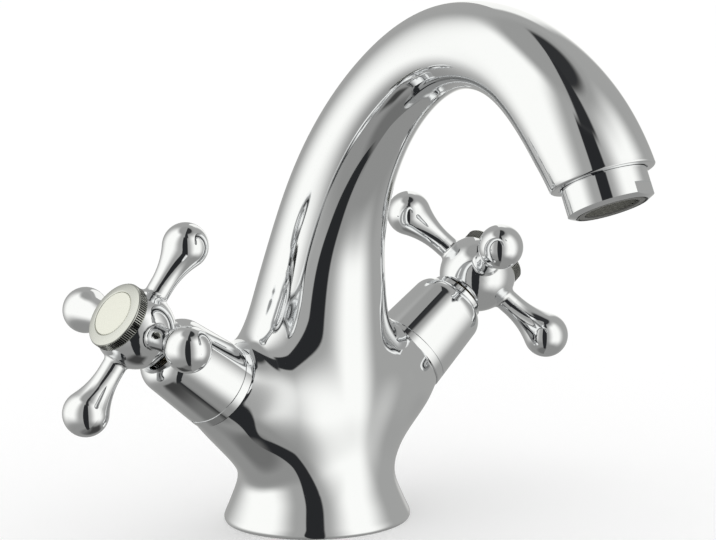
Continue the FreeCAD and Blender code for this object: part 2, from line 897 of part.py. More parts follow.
def shroud():
    """Conical chrome cover with a base band, a fine groove, a rounded shoulder and a lip."""
    band_top = shroud_low + shroud_band_length
    groove_top = band_top + shroud_groove_width
    slope = (shroud_radius - shroud_shoulder_radius) / shroud_cone_length

    def cone_radius(height):
        return shroud_radius - slope * (height - shroud_low)

    neck_bore = bonnet_neck_radius + free_clearance
    boss_bore = bonnet_shoulder_radius + seated_clearance
    boss_top = bonnet_shoulder_height + free_clearance
    boss_low = boss_top - shroud_boss_length
    shoulder_start = V(shroud_shoulder_radius, 0, shroud_shoulder)
    shoulder_end = V(shroud_lip_radius, 0, shroud_lip)
    chord = shoulder_end - shoulder_start
    half_turn = math.atan2(-chord.x, chord.z) - math.atan(slope)
    outwards = V(chord.z, 0, -chord.x) / chord.Length
    bulge = 0.5 * chord.Length * math.tan(0.5 * half_turn)
    shoulder_middle = 0.5 * (shoulder_start + shoulder_end) + outwards * bulge
    corners = [
        (shroud_lip_radius, shroud_lip),
        (shroud_lip_radius, shroud_top),
        (neck_bore, shroud_top),
        (neck_bore, boss_top),
        (boss_bore, boss_top),
        (boss_bore, boss_low),
        (cone_radius(boss_low) - shroud_wall, boss_low),
        (shroud_radius - shroud_wall, shroud_low),
        (shroud_radius - shroud_band_edge, shroud_low),
        (cone_radius(shroud_low + shroud_band_edge), shroud_low + shroud_band_edge),
        (cone_radius(band_top), band_top),
        (cone_radius(band_top) - shroud_groove_depth, band_top),
        (cone_radius(groove_top) - shroud_groove_depth, groove_top),
        (cone_radius(groove_top), groove_top),
        (shroud_shoulder_radius, shroud_shoulder),
    ]
    points = [V(radius, 0, height) for radius, height in corners]
    edges = [Part.LineSegment(a, b).toShape() for a, b in zip(points, points[1:])]
    edges.append(Part.Arc(shoulder_start, shoulder_middle, shoulder_end).toShape())
    return turned_edges(edges)


# Handle pieces
arm_curve_radius = (
    (ball_distance - arm_neck_distance) ** 2 + arm_neck_radius ** 2 - ball_radius ** 2
) / (2.0 * (ball_radius - arm_neck_radius))


def handle_arm():
    """One arm of the cross, drawn along +X, widening smoothly into its ball end."""
    curve_centre = V(arm_neck_distance, arm_neck_radius + arm_curve_radius, 0)
    ball_centre = V(ball_distance, 0, 0)
    lean = (curve_centre - ball_centre).normalize()
    joint = ball_centre + lean * ball_radius
    side_of_ball = ball_centre + (lean + V(1, 0, 0)).normalize() * ball_radius
    tip = V(ball_distance + ball_radius, 0, 0)
    neck = V(arm_neck_distance, arm_neck_radius, 0)
    to_neck = (neck - curve_centre).normalize()
    to_joint = (joint - curve_centre).normalize()
    middle = curve_centre + (to_neck + to_joint).normalize() * arm_curve_radius
    start = V(arm_start_distance, arm_neck_radius, 0)
    foot = V(arm_start_distance, 0, 0)
    edges = [
        Part.LineSegment(foot, start).toShape(),
        Part.LineSegment(start, neck).toShape(),
        Part.Arc(neck, middle, joint).toShape(),
        Part.Arc(joint, side_of_ball, tip).toShape(),
        Part.LineSegment(tip, foot).toShape(),
    ]
    return Part.Face(Part.Wire(edges)).revolve(origin, V(1, 0, 0), 360)


def handle():
    """Barrel hub with four arms, a socket for the bush, a web for the screw and a front recess."""
    points = [
        V(0, 0, hub_front),
        V(0, 0, hub_back),
        V(hub_back_radius, 0, hub_back),
        V(hub_belly_radius, 0, hub_belly),
        V(hub_front_radius, 0, hub_front),
    ]
    edges = [
        Part.LineSegment(points[0], points[1]).toShape(),
        Part.LineSegment(points[1], points[2]).toShape(),
        Part.Arc(points[2], points[3], points[4]).toShape(),
        Part.LineSegment(points[4], points[0]).toShape(),
    ]
    cross = turned_edges(edges)
    for index in range(4):
        arm = handle_arm()
        arm.translate(V(0, 0, cross_position))
        arm.rotate(origin, up, 90.0 * index)
        cross = cross.fuse(arm)
    whole_edges = [edge for edge in cross.Edges if not edge.Degenerated]
    roots = [edge for edge in whole_edges if isinstance(edge.Curve, Part.BSplineCurve)]
    cross = cross.makeFillet(arm_root_fillet, roots)
    cross = cross.cut(rod(bush_radius + seated_clearance, hub_back, web_back))
    cross = cross.cut(rod(screw_radius + free_clearance, web_back, web_front))
    return cross.cut(rod(hub_recess_radius, web_front, hub_front))


def spline_bush():
    """Plastic bush between the splined spindle and the hub."""
    low = hub_back + bush_inset
    bore = toothed_outline(spindle_radius + seated_clearance, spline_depth, spline_count, low)
    return rod(bush_radius, low, web_back).cut(prism(bore, web_back - low))


def handle_screw():
    """Slotted screw through the hub's web into the spindle."""
    head_top = web_front + screw_head_height
    screw = rod(screw_radius, web_front - screw_length, web_front)
    screw = screw.fuse(rod(screw_head_radius, web_front, head_top))
    slot = Part.makeBox(2.0 * screw_head_radius, screw_slot_width, screw_slot_depth)
    slot.translate(V(-screw_head_radius, -0.5 * screw_slot_width, head_top - screw_slot_depth))
    return screw.cut(slot)


cap_top = hub_front + cap_height
cap_seat = cap_top + cap_face_rise - index_thickness


def cap_ring():
    """Knurled ring that screws into the hub's recess and holds the index disc."""
    skirt_radius = hub_recess_radius - seated_clearance
    knurled = prism(toothed_outline(cap_radius, knurl_depth, knurl_count, hub_front), cap_height)
    face = turned(
        [
            (0.0, cap_top),
            (cap_radius - cap_rim_inset, cap_top),
            (index_radius + cap_rim_inset, cap_top + cap_face_rise),
            (0.0, cap_top + cap_face_rise),
        ]
    )
    skirt = tube(skirt_radius, skirt_radius - cap_skirt_wall, hub_front - cap_skirt_length, hub_front)
    ring = knurled.fuse(face).fuse(skirt)
    return ring.cut(rod(index_radius + seated_clearance, cap_seat, cap_top + cap_face_rise))


def index_disc():
    """Slightly crowned cream disc in the cap ring."""
    edge_height = cap_seat + index_thickness + index_standing
    crown = V(0, 0, edge_height + index_crown)
    rim = V(index_radius, 0, edge_height)
    dome_radius = (index_radius ** 2 + index_crown ** 2) / (2.0 * index_crown)
    half_out = 0.5 * index_radius
    sag = V(half_out, 0, crown.z - dome_radius + math.sqrt(dome_radius ** 2 - half_out ** 2))
    edges = [
        Part.LineSegment(V(0, 0, cap_seat), V(index_radius, 0, cap_seat)).toShape(),
        Part.LineSegment(V(index_radius, 0, cap_seat), rim).toShape(),
        Part.Arc(rim, sag, crown).toShape(),
        Part.LineSegment(crown, V(0, 0, cap_seat)).toShape(),
    ]
    return turned_edges(edges)


save("body_casting", body_casting())
save("base_gasket", base_gasket())
outlet_pieces = {
    "aerator_housing": aerator_housing(),
    "aerator_insert": aerator_insert(),
    "aerator_screen": aerator_screen(),
    "aerator_washer": aerator_washer(),
}
for node, shape in outlet_pieces.items():
    save(node, on_outlet(shape))

fixed_pieces = {
    "shroud": shroud(),
    "valve_bonnet": valve_bonnet(),
    "bonnet_seal": bonnet_seal(),
    "fixed_disc": fixed_disc(),
    "seat_seal": seat_seal(),
}
turning_pieces = {
    "handle": handle(),
    "cap_ring": cap_ring(),
    "index_disc": index_disc(),
    "handle_screw": handle_screw(),
    "spline_bush": spline_bush(),
    "spindle": spindle(),
    "spindle_seals": spindle_seals(),
    "circlip": circlip(),
    "thrust_washer": thrust_washer(),
    "moving_disc": moving_disc(),
}
for name, side in sides.items():
    for node, shape in fixed_pieces.items():
        save(name + "_" + node, on_valve(shape, side))
    for node, shape in turning_pieces.items():
        turn = handle_turns[name] if node == "handle" else 0.0
        save(name + "_" + node, on_valve(shape, side, turn))
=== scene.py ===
"""Looks of a basin mixer tap: chrome, cream index discs, a wire screen and a light tent."""

import math

import bpy
import numpy as np
from mathutils import Matrix, Vector


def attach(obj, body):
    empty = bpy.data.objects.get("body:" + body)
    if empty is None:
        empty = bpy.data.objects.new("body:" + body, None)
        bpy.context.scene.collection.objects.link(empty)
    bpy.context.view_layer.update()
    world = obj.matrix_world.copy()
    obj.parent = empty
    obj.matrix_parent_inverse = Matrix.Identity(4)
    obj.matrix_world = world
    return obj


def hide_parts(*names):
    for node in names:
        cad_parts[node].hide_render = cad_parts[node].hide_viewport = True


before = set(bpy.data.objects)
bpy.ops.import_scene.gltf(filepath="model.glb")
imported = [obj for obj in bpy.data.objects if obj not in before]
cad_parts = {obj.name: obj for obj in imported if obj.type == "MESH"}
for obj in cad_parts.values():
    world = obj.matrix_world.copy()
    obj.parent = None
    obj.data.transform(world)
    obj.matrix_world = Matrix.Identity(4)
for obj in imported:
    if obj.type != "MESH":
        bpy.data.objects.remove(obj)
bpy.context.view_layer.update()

bl_info = {
    "name": "Basin Mixer Tap",
    "version": (1, 0, 0),
    "blender": (4, 5, 0),
    "location": "View3D > Sidebar > Tap",
    "description": "Dresses a packed basin mixer tap in chrome and sets it in a light tent",
    "category": "Object",
}

valve_sides = {"hot": -1.0, "cold": 1.0}
quarter_turn = 0.5 * math.pi
white = (1.0, 1.0, 1.0, 1.0)

# Fineness of the casting's mesh
sector_steps = 44
base_steps = 40
spout_steps = 180
arm_steps = 36
lip_steps = 6
hole_sides = 64
column_samples = 8000
settle_rounds = 10
settle_step = 1e-6
merge_distance = 2e-6

# Fineness of the trim's meshes
columns_per_tooth = 4
groove_columns = 2
corner_steps = 4
disc_sides = 96
disc_rings = (0.85, 0.7, 0.5, 0.3, 0.1)
hoop_segments = 96
hoop_sides = 8
wire_sides = 6
wire_layers = 2

# Share of the knurl's depth at which a cap ring's upper edge starts to round
knurl_brow = 0.5

# Corners that a face has in a groove to take the groove's dark painted shade
groove_corners = 2

# Angles in degrees past which an edge stays sharp
casting_edge_angle = 35.0
ring_edge_angle = 30.0
disc_edge_angle = 50.0
screen_edge_angle = 70.0

# Patterns in the finishes
noise_low = 0.3
noise_high = 0.7
noise_detail = 3.0
smear_scale = 60.0
smear_detail = 5.0
grain_shade = 0.85
grain_gloss = 0.2

# Places of the mixing nodes' sockets, because several share a name
mix_factor = 0
mix_shader_a = 1
mix_shader_b = 2
mix_value_a = 2
mix_value_b = 3
mix_value_result = 0
mix_colour_a = 6
mix_colour_b = 7
mix_colour_result = 2

# Camera and tent
sensor_width = 36.0
camera_near = 0.01
camera_far = 50.0
tent_segments = 128
tent_rings = 64


def colour_value(name, description, default):
    """A property for one colour."""
    return bpy.props.FloatVectorProperty(
        name=name, description=description, subtype="COLOR", size=3, min=0.0, max=1.0, default=default)


def factor_value(name, description, default):
    """A property for one share from 0 to 1."""
    return bpy.props.FloatProperty(
        name=name, description=description, subtype="FACTOR", min=0.0, max=1.0, default=default)


def share_value(name, description, default):
    """A property for one plain share, of either sign."""
    return bpy.props.FloatProperty(name=name, description=description, precision=3, default=default)


def angle_value(name, description, degrees):
    """A property for one angle, given in degrees."""
    return bpy.props.FloatProperty(
        name=name, description=description, subtype="ANGLE", default=math.radians(degrees))


def length_value(name, description, default):
    """A property for one length in metres."""
    return bpy.props.FloatProperty(
        name=name, description=description, unit="LENGTH", precision=5, default=default)


def place_value(name, description, default):
    """A property for one point in metres."""
    return bpy.props.FloatVectorProperty(
        name=name, description=description, subtype="XYZ",
        size=3, unit="LENGTH", precision=5, default=default)


def section_value(name, forward, height, radius):
    """A property for one round section of the casting."""
    return bpy.props.FloatVectorProperty(
        name=name, description="How far forward the section lies, its height and its radius",
        size=3, unit="LENGTH", precision=5, default=(forward, height, radius))


class TapFinishes(bpy.types.PropertyGroup):
    """Colours and gloss of the tap's finishes."""

    chrome: colour_value("Chrome", "Tint of the polished plating", (0.90, 0.91, 0.92))
    chrome_roughness: factor_value("Chrome roughness", "Blur of the plating where it is cleanest", 0.025)
    chrome_smear: factor_value("Chrome smear", "Extra blur where the plating is a little smeared", 0.03)
    satin: colour_value("Satin", "Tint of the cap rings' plating", (0.72, 0.73, 0.68))
    satin_roughness: factor_value("Satin roughness", "Blur of the cap rings' plating", 0.14)
    cream: colour_value("Cream", "Glaze of the index discs", (0.90, 0.905, 0.79))
    # Painted shade: a dark colour for the knurls' grooves, standing in for the shade in their roots
    groove_shade: colour_value("Groove shade", "Colour of the knurls' grooves", (0.08, 0.08, 0.077))
    # The wires' colour is their steel, darkened as painted shade for the screen in its recess
    wire: colour_value("Wire", "Colour of the screen's wires", (0.22, 0.22, 0.20))
    rubber: colour_value("Rubber", "Colour of the seals", (0.02, 0.02, 0.022))
    brass: colour_value("Brass", "Colour of the bare brass inside", (0.70, 0.58, 0.38))
    steel: colour_value("Steel", "Colour of the fasteners", (0.52, 0.53, 0.54))
    plastic: colour_value("Plastic", "Colour of the flow core and bushes", (0.15, 0.15, 0.14))
    ceramic: colour_value("Ceramic", "Colour of the valve discs", (0.80, 0.79, 0.76))


class TapBody(bpy.types.PropertyGroup):
    """Sections, arms and sockets of the casting."""

    foot: section_value("Foot", 0.0, 0.0, 0.0257)
    edge: section_value("Edge", 0.0, 0.0006, 0.026)
    crown: section_value("Crown", 0.0, 0.0028, 0.02545)
    flare: section_value("Flare", 0.0, 0.0078, 0.02331)
    waist: section_value("Waist", 0.0, 0.0124, 0.0215)
    belly: section_value("Belly", 0.0, 0.032, 0.02159)
    shoulder: section_value("Shoulder", 0.0013, 0.05, 0.0204)
    throat: section_value("Throat", 0.0035, 0.064, 0.0184)
    neck: section_value("Neck", 0.0071, 0.078, 0.01615)
    rise: section_value("Rise", 0.0207, 0.1055, 0.01315)
    climb: section_value("Climb", 0.04, 0.1259, 0.0117)
    crest: section_value("Crest", 0.0628, 0.1378, 0.0114)
    brow: section_value("Brow", 0.08875, 0.1377, 0.01185)
    fall: section_value("Fall", 0.1124, 0.124, 0.01365)
    lip: section_value("Lip", 0.123915, 0.110316, 0.01365)
    outlet_tilt: angle_value("Outlet tilt", "Lean of the spout's mouth from straight down", 25.0)
    lip_fillet: length_value("Lip fillet", "Rounding of the spout's lip", 0.0006)
    mouth_radius: length_value("Mouth radius", "Radius of the recess round the aerator", 0.0115)
    mouth_depth: length_value("Mouth depth", "Depth of the recess round the aerator", 0.001)
    socket_radius: length_value("Socket radius", "Radius of the aerator's socket", 0.011)
    socket_depth: length_value("Socket depth", "Depth of the aerator's socket", 0.0094)
    valve_height: length_value("Valve height", "Height at which both valve axes meet", 0.01785)
    valve_lift: angle_value("Valve lift", "Rise of the valve axes above level", 36.76)
    arm_end: length_value("Arm end", "Distance from the meeting point to an arm's end", 0.0394)
    arm_radius: length_value("Arm radius", "Radius of an arm at its end", 0.0119)
    arm_flare: angle_value("Arm flare", "Widening of an arm towards the column", 9.77)
    swell_angle: angle_value("Swell angle", "How fast an arm grows deeper from its end", 27.12)
    swell_depth: length_value("Swell depth", "How much deeper an arm gets than its end", 0.00315)
    swell_round: length_value("Swell round", "Reach over which an arm stops growing deeper", 0.0031)
    arm_root: length_value("Arm root", "Where an arm starts inside the column", 0.008)
    root_round: length_value("Root round", "Rounding of an arm's inner end", 0.00911)
    front_blend: length_value("Front blend", "Reach of the blend at an arm's front and back", 0.01535)
    upper_blend: length_value("Upper blend", "Reach of the blend over an arm", 0.0217)
    upper_start: share_value("Upper start", "Slope round an arm at which the upper blend starts", -0.404)
    upper_full: share_value("Upper full", "Slope round an arm at which the upper blend is full", 0.451)
    lower_blend: length_value("Lower blend", "Reach of the blend under an arm", 0.00817)
    lower_start: share_value("Lower start", "Slope round an arm at which the lower blend starts", 0.296)
    lower_full: share_value("Lower full", "Slope round an arm at which the lower blend is full", 0.926)
    least_blend: length_value("Least blend", "Reach of the blend at the column's middle", 0.0005)
    middle_start: length_value("Middle start", "Where the blend starts beside the middle", -0.00769)
    middle_full: length_value("Middle full", "Where the blend is full beside the middle", 0.01835)
    chamber_radius: length_value("Chamber radius", "Radius of a valve's chamber", 0.0094)
    chamber_seat: length_value("Chamber seat", "Where a chamber's floor lies on its axis", 0.022)
    groove_outer: length_value("Groove outer", "Outer radius of the gasket's groove", 0.023)
    groove_inner: length_value("Groove inner", "Inner radius of the gasket's groove", 0.0195)
    groove_depth: length_value("Groove depth", "Depth of the gasket's groove", 0.002)
    inlet_offset: length_value("Inlet offset", "Distance of an inlet from the base's middle", 0.011)
    inlet_radius: length_value("Inlet radius", "Radius of an inlet's socket", 0.0045)
    inlet_depth: length_value("Inlet depth", "Depth of an inlet's socket", 0.012)
    stud_offset: length_value("Stud offset", "Distance of the stud's hole behind the middle", 0.0125)
    stud_radius: length_value("Stud radius", "Radius of the stud's hole", 0.0034)
    stud_depth: length_value("Stud depth", "Depth of the stud's hole", 0.014)
    level_height: length_value("Level height", "Height up to which the sections lie level", 0.066)
    square_height: length_value("Square height", "Height from which the sections stand square", 0.104)
    low_ring: length_value("Low ring", "Height of the ring under the arms", 0.0115)
    high_ring: length_value("High ring", "Height of the ring over the arms", 0.061)
    corner: angle_value("Corner", "Angle of the corners beside an arm", 48.0)


class TapTrim(bpy.types.PropertyGroup):
    """Cap rings, index discs and the aerator's screen."""

    hub_front: length_value("Hub front", "Distance from the meeting point to a hub's front", 0.0788)
    cap_radius: length_value("Cap radius", "Outer radius of a cap ring", 0.0096)
    cap_height: length_value("Cap height", "Height of a cap ring's edge", 0.003)
    cap_face_rise: length_value("Cap face rise", "How far a cap ring's face rises inwards", 0.0005)
    cap_round: length_value("Cap round", "Rounding of a cap ring's upper edge", 0.0005)
    face_inner: length_value("Face inner", "Inner radius of a cap ring's face", 0.0069)
    face_round: length_value("Face round", "Rounding of a cap ring's inner edge", 0.0003)
    knurl_count: bpy.props.IntProperty(
        name="Knurl count", description="Number of teeth round a cap ring", default=96)
    knurl_depth: length_value("Knurl depth", "Depth of a cap ring's teeth", 0.0003)
    knurl_foot: length_value("Knurl foot", "Plain height under a cap ring's teeth", 0.0002)
    knurl_relief: length_value("Knurl relief", "How much deeper a ring's foot is than its teeth", 0.0001)
    skirt_outer: length_value("Skirt outer", "Outer radius of a cap ring's skirt", 0.00767)
    skirt_inner: length_value("Skirt inner", "Inner radius of a cap ring's skirt", 0.00637)
    skirt_length: length_value("Skirt length", "Length of a cap ring's skirt", 0.003)
    disc_bore: length_value("Disc bore", "Radius of the seat in a cap ring", 0.00653)
    disc_seat: length_value("Disc seat", "Distance from the meeting point to a disc's seat", 0.0807)
    disc_radius: length_value("Disc radius", "Radius of an index disc", 0.00645)
    disc_height: length_value("Disc height", "Distance from the meeting point to a disc's edge", 0.0823)
    disc_crown: length_value("Disc crown", "How far a disc's middle stands over its edge", 0.00025)
    disc_round: length_value("Disc round", "Rounding of a disc's edge", 0.0003)
    outlet_face: place_value("Outlet face", "Middle of the aerator's face", (0.0, -0.12721, 0.10325))
    screen_radius: length_value("Screen radius", "Radius of the aerator's screen", 0.00707)
    screen_recess: length_value("Screen recess", "Depth of the screen behind the aerator's face", 0.00045)
    wire_radius: length_value("Wire radius", "Radius of the screen's wires", 0.00014)
    wire_pitch: length_value("Wire pitch", "Spacing of the screen's wires", 0.0013)


class TapStage(bpy.types.PropertyGroup):
    """Camera, floor, light tent and the dark flag under the hot valve."""

    camera_place: place_value("Camera place", "Where the camera stands", (-0.5818, -0.8007, 0.2554))
    camera_target: place_value("Camera target", "Where the camera looks", (0.00985, -0.00824, 0.0702))
    camera_roll: angle_value("Camera roll", "Turn of the camera about its line of sight", -1.15)
    camera_lens: bpy.props.FloatProperty(
        name="Lens", description="Focal length on a 36 mm sensor", subtype="DISTANCE_CAMERA",
        default=182.7)
    floor_size: length_value("Floor size", "Side of the floor", 6.0)
    floor_colour: colour_value("Floor colour", "Colour of the floor's paper", (0.93, 0.93, 0.93))
    floor_glow: factor_value("Floor glow", "Added brightness of the floor where it is seen", 0.08)
    tent_radius: length_value("Tent radius", "Radius of the light tent", 0.52)
    tent_centre: place_value("Tent centre", "Middle of the light tent", (0.0, -0.04, 0.07))
    tent_grey: factor_value("Tent grey", "Brightness of the tent's cloth between its panels", 0.38)
    dark_tint: colour_value("Dark tint", "Tint of the tent where it is darkest", (0.80, 0.88, 1.0))
    grey_tint: colour_value("Grey tint", "Tint of the tent where it is dim", (1.0, 1.0, 0.98))
    bright_tint: colour_value("Bright tint", "Tint of the tent where it is brightest", (1.0, 1.0, 0.97))
    grey_level: factor_value("Grey level", "Brightness at which the tent has its grey tint", 0.06)
    flag_centre: place_value("Flag centre", "Middle of the flag", (-0.063, -0.0085, 0.015))
    flag_half: bpy.props.FloatVectorProperty(
        name="Flag half", description="Half the flag's width and depth",
        size=2, unit="LENGTH", precision=5, default=(0.0175, 0.0175))
    flag_soft: length_value("Flag soft", "Reach over which the flag's edge fades", 0.011)
    flag_grey: factor_value("Flag grey", "Brightness of the flag", 0.055)


def tap_finishes():
    """The finishes of the current scene."""
    return bpy.context.scene.tap_finishes


def tap_body():
    """The casting's values in the current scene."""
    return bpy.context.scene.tap_body


def tap_trim():
    """The trim's values in the current scene."""
    return bpy.context.scene.tap_trim


def tap_stage():
    """The stage's values in the current scene."""
    return bpy.context.scene.tap_stage


class Shading:
    """A new material's node tree, with short ways to add and join its nodes."""

    def __init__(self, name):
        self.material = bpy.data.materials.new(name)
        self.material.use_nodes = True
        self.nodes = self.material.node_tree.nodes
        self.links = self.material.node_tree.links
        self.nodes.clear()

    def add(self, kind, inputs, **settings):
        """The outputs of a new node whose inputs get plain values or links from other nodes."""
        node = self.nodes.new(kind)
        for name, value in settings.items():
            setattr(node, name, value)
        for key, value in inputs.items():
            if isinstance(value, bpy.types.NodeSocket):
                self.links.new(value, node.inputs[key])
            else:
                node.inputs[key].default_value = value
        return node.outputs

    def place(self):
        """The place of a point in its own piece."""
        return self.add("ShaderNodeTexCoord", {})["Object"]

    def noise(self, scale, detail):
        """A noise pattern fixed to the piece."""
        pattern = {"Vector": self.place(), "Scale": scale, "Detail": detail}
        return self.add("ShaderNodeTexNoise", pattern)["Fac"]

    def spread(self, noise, low, high):
        """A noise pattern spread between two values."""
        source = {"Value": noise, "From Min": noise_low, "From Max": noise_high}
        return self.add("ShaderNodeMapRange", {**source, "To Min": low, "To Max": high})["Result"]

    def bump(self, noise, depth):
        """A bump from a noise pattern."""
        return self.add("ShaderNodeBump", {"Height": noise, "Distance": depth, "Strength": 1.0})["Normal"]

    def compute(self, operation, *values):
        """The result of one math operation on numbers or outputs."""
        return self.add("ShaderNodeMath", dict(enumerate(values)), operation=operation)["Value"]

    def fade(self, value, low, high):
        """A smooth step from 0 at one value to 1 at another."""
        step = {"Value": value, "From Min": low, "From Max": high}
        return self.add("ShaderNodeMapRange", step, interpolation_type="SMOOTHSTEP")["Result"]

    def window(self, value, rise_start, rise_end, fall_start, fall_end):
        """1 inside a window of values, fading to 0 on both sides."""
        rise = self.fade(value, rise_start, rise_end)
        fall = self.fade(value, fall_start, fall_end)
        return self.compute("MULTIPLY", rise, self.compute("SUBTRACT", 1.0, fall))

    def surface(self, values):
        """The material with a painted or plated surface."""
        return self.finish(self.add("ShaderNodeBsdfPrincipled", values)["BSDF"])

    def finish(self, shader):
        """The material with a shader on its output."""
        self.add("ShaderNodeOutputMaterial", {"Surface": shader})
        return self.material


def rgba(colour):
    """A colour property with full alpha."""
    return (*colour, 1.0)


def chrome_material(name, colour, clean):
    """Plating with faint smears, from its blur where it is cleanest."""
    shading = Shading(name)
    smear = shading.noise(smear_scale, smear_detail)
    blur = shading.spread(smear, clean, clean + tap_finishes().chrome_smear)
    return shading.surface({"Base Color": rgba(colour), "Metallic": 1.0, "Roughness": blur})


def grained_material(name, colour, metallic, roughness, grain, depth):
    """A plain colour with a fine grain in its tone, gloss and surface."""
    shading = Shading(name)
    noise = shading.noise(grain, noise_detail)
    darker = [grain_shade * channel for channel in colour]
    tones = {mix_factor: noise, mix_colour_a: rgba(darker), mix_colour_b: rgba(colour)}
    glossy = (1.0 - grain_gloss) * roughness
    matt = (1.0 + grain_gloss) * roughness
    return shading.surface({
        "Base Color": shading.add("ShaderNodeMix", tones, data_type="RGBA")[mix_colour_result],
        "Metallic": metallic,
        "Roughness": shading.spread(noise, glossy, matt),
        "Normal": shading.bump(noise, depth),
    })


def make_finishes():
    """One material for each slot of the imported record."""
    finishes = tap_finishes()
    made = {}
    for slot in ("chrome_body", "chrome_handle", "chrome_trim"):
        made[slot] = chrome_material(slot + "_finish", finishes.chrome, finishes.chrome_roughness)
    made["index_cream"] = grained_material(
        "index_cream_finish", finishes.cream, metallic=0.0, roughness=0.25, grain=4000.0, depth=0.000002)
    made["brass"] = grained_material(
        "brass_finish", finishes.brass, metallic=1.0, roughness=0.28, grain=1500.0, depth=0.00002)
    made["steel"] = grained_material(
        "steel_finish", finishes.steel, metallic=1.0, roughness=0.3, grain=1800.0, depth=0.00002)
    made["rubber"] = grained_material(
        "rubber_finish", finishes.rubber, metallic=0.0, roughness=0.6, grain=1200.0, depth=0.00003)
    made["plastic"] = grained_material(
        "plastic_finish", finishes.plastic, metallic=0.0, roughness=0.42, grain=1400.0, depth=0.00002)
    made["ceramic_disc"] = grained_material(
        "ceramic_finish", finishes.ceramic, metallic=0.0, roughness=0.2, grain=1600.0, depth=0.00001)
    return made


class TAP_OT_finish_nodes(bpy.types.Operator):
    """Give every solid of the tap its finish"""

    bl_idname = "tap.finish_nodes"
    bl_label = "Finish Solids"

    def execute(self, context):
        finishes = make_finishes()
        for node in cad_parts.values():
            for index, material in enumerate(node.data.materials):
                slot = material.name.split(".")[0]
                node.data.materials[index] = finishes[slot]
        return {"FINISHED"}


def select_only(piece):
    """Make one piece the selected and active one."""
    bpy.ops.object.select_all(action="DESELECT")
    piece.select_set(True)
    bpy.context.view_layer.objects.active = piece


def dress(piece, materials, edge_angle, body, node):
    """Shade a piece, give it its finishes and let it ride in place of a solid."""
    select_only(piece)
    bpy.ops.object.shade_smooth_by_angle(angle=math.radians(edge_angle))
    for material in materials:
        piece.data.materials.append(material)
    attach(piece, body)
    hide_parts(node)


class Spine:
    """A smooth curve through the casting's sections: forward, height and radius along its run."""

    def __init__(self, sections):
        self.points = np.array([tuple(section) for section in sections])
        chords = np.linalg.norm(np.diff(self.points, axis=0), axis=1)
        self.marks = np.concatenate(([0.0], np.cumsum(chords)))
        self.slopes = self.smooth_slopes(chords)

    def end_slope(self, end, nearest):
        """Slope at one end, which is the linear term of a cubic through its four nearest sections."""
        return np.polyfit(self.marks[nearest] - self.marks[end], self.points[nearest], 3)[-2]

    def smooth_slopes(self, chords):
        """Slopes at the sections that keep the curve's bend unbroken."""
        count = len(self.points)
        rows = np.eye(count)
        sums = np.zeros_like(self.points)
        sums[0] = self.end_slope(0, slice(None, 4))
        sums[-1] = self.end_slope(-1, slice(-4, None))
        for index in range(1, count - 1):
            before, after = chords[index - 1], chords[index]
            rows[index, index - 1:index + 2] = after, 2.0 * (before + after), before
            arriving = (self.points[index] - self.points[index - 1]) / before
            leaving = (self.points[index + 1] - self.points[index]) / after
            sums[index] = 3.0 * (after * arriving + before * leaving)
        return np.linalg.solve(rows, sums)

    def at(self, marks):
        """Places and slopes at distances along the curve."""
        index = np.clip(np.searchsorted(self.marks, marks, side="right") - 1, 0, len(self.marks) - 2)
        span = (self.marks[index + 1] - self.marks[index])[:, None]
        share = (marks - self.marks[index])[:, None] / span
        first, last = self.points[index], self.points[index + 1]
        start, end = self.slopes[index] * span, self.slopes[index + 1] * span
        bend = 2.0 * (first - last) + start + end
        turn = 3.0 * (last - first) - 2.0 * start - end
        place = ((bend * share + turn) * share + start) * share + first
        slope = ((3.0 * bend * share + 2.0 * turn) * share + start) / span
        return place, slope


def eased(value, low, high):
    """0 below low, 1 above high and smooth between them."""
    share = np.clip((value - low) / (high - low), 0.0, 1.0)
    return share * share * (3.0 - 2.0 * share)


def smooth_least(first, second, reach):
    """The lesser of two distances, blended where they are closer than the reach."""
    share = np.maximum(reach - np.abs(first - second), 0.0) / reach
    return np.minimum(first, second) - share ** 3 * reach / 6.0


def circle_points(centre, first, second, radius, angles):
    """Points of a circle at angles that start at a first way and turn to a second one."""
    ways = np.outer(np.cos(angles), first) + np.outer(np.sin(angles), second)
    return np.array(centre) + radius * ways


def valve_axes(body, side):
    """A valve's axis, and the way that rises square to it."""
    level = math.cos(body.valve_lift)
    steep = math.sin(body.valve_lift)
    return (side * level, 0.0, steep), (-side * steep, 0.0, level)


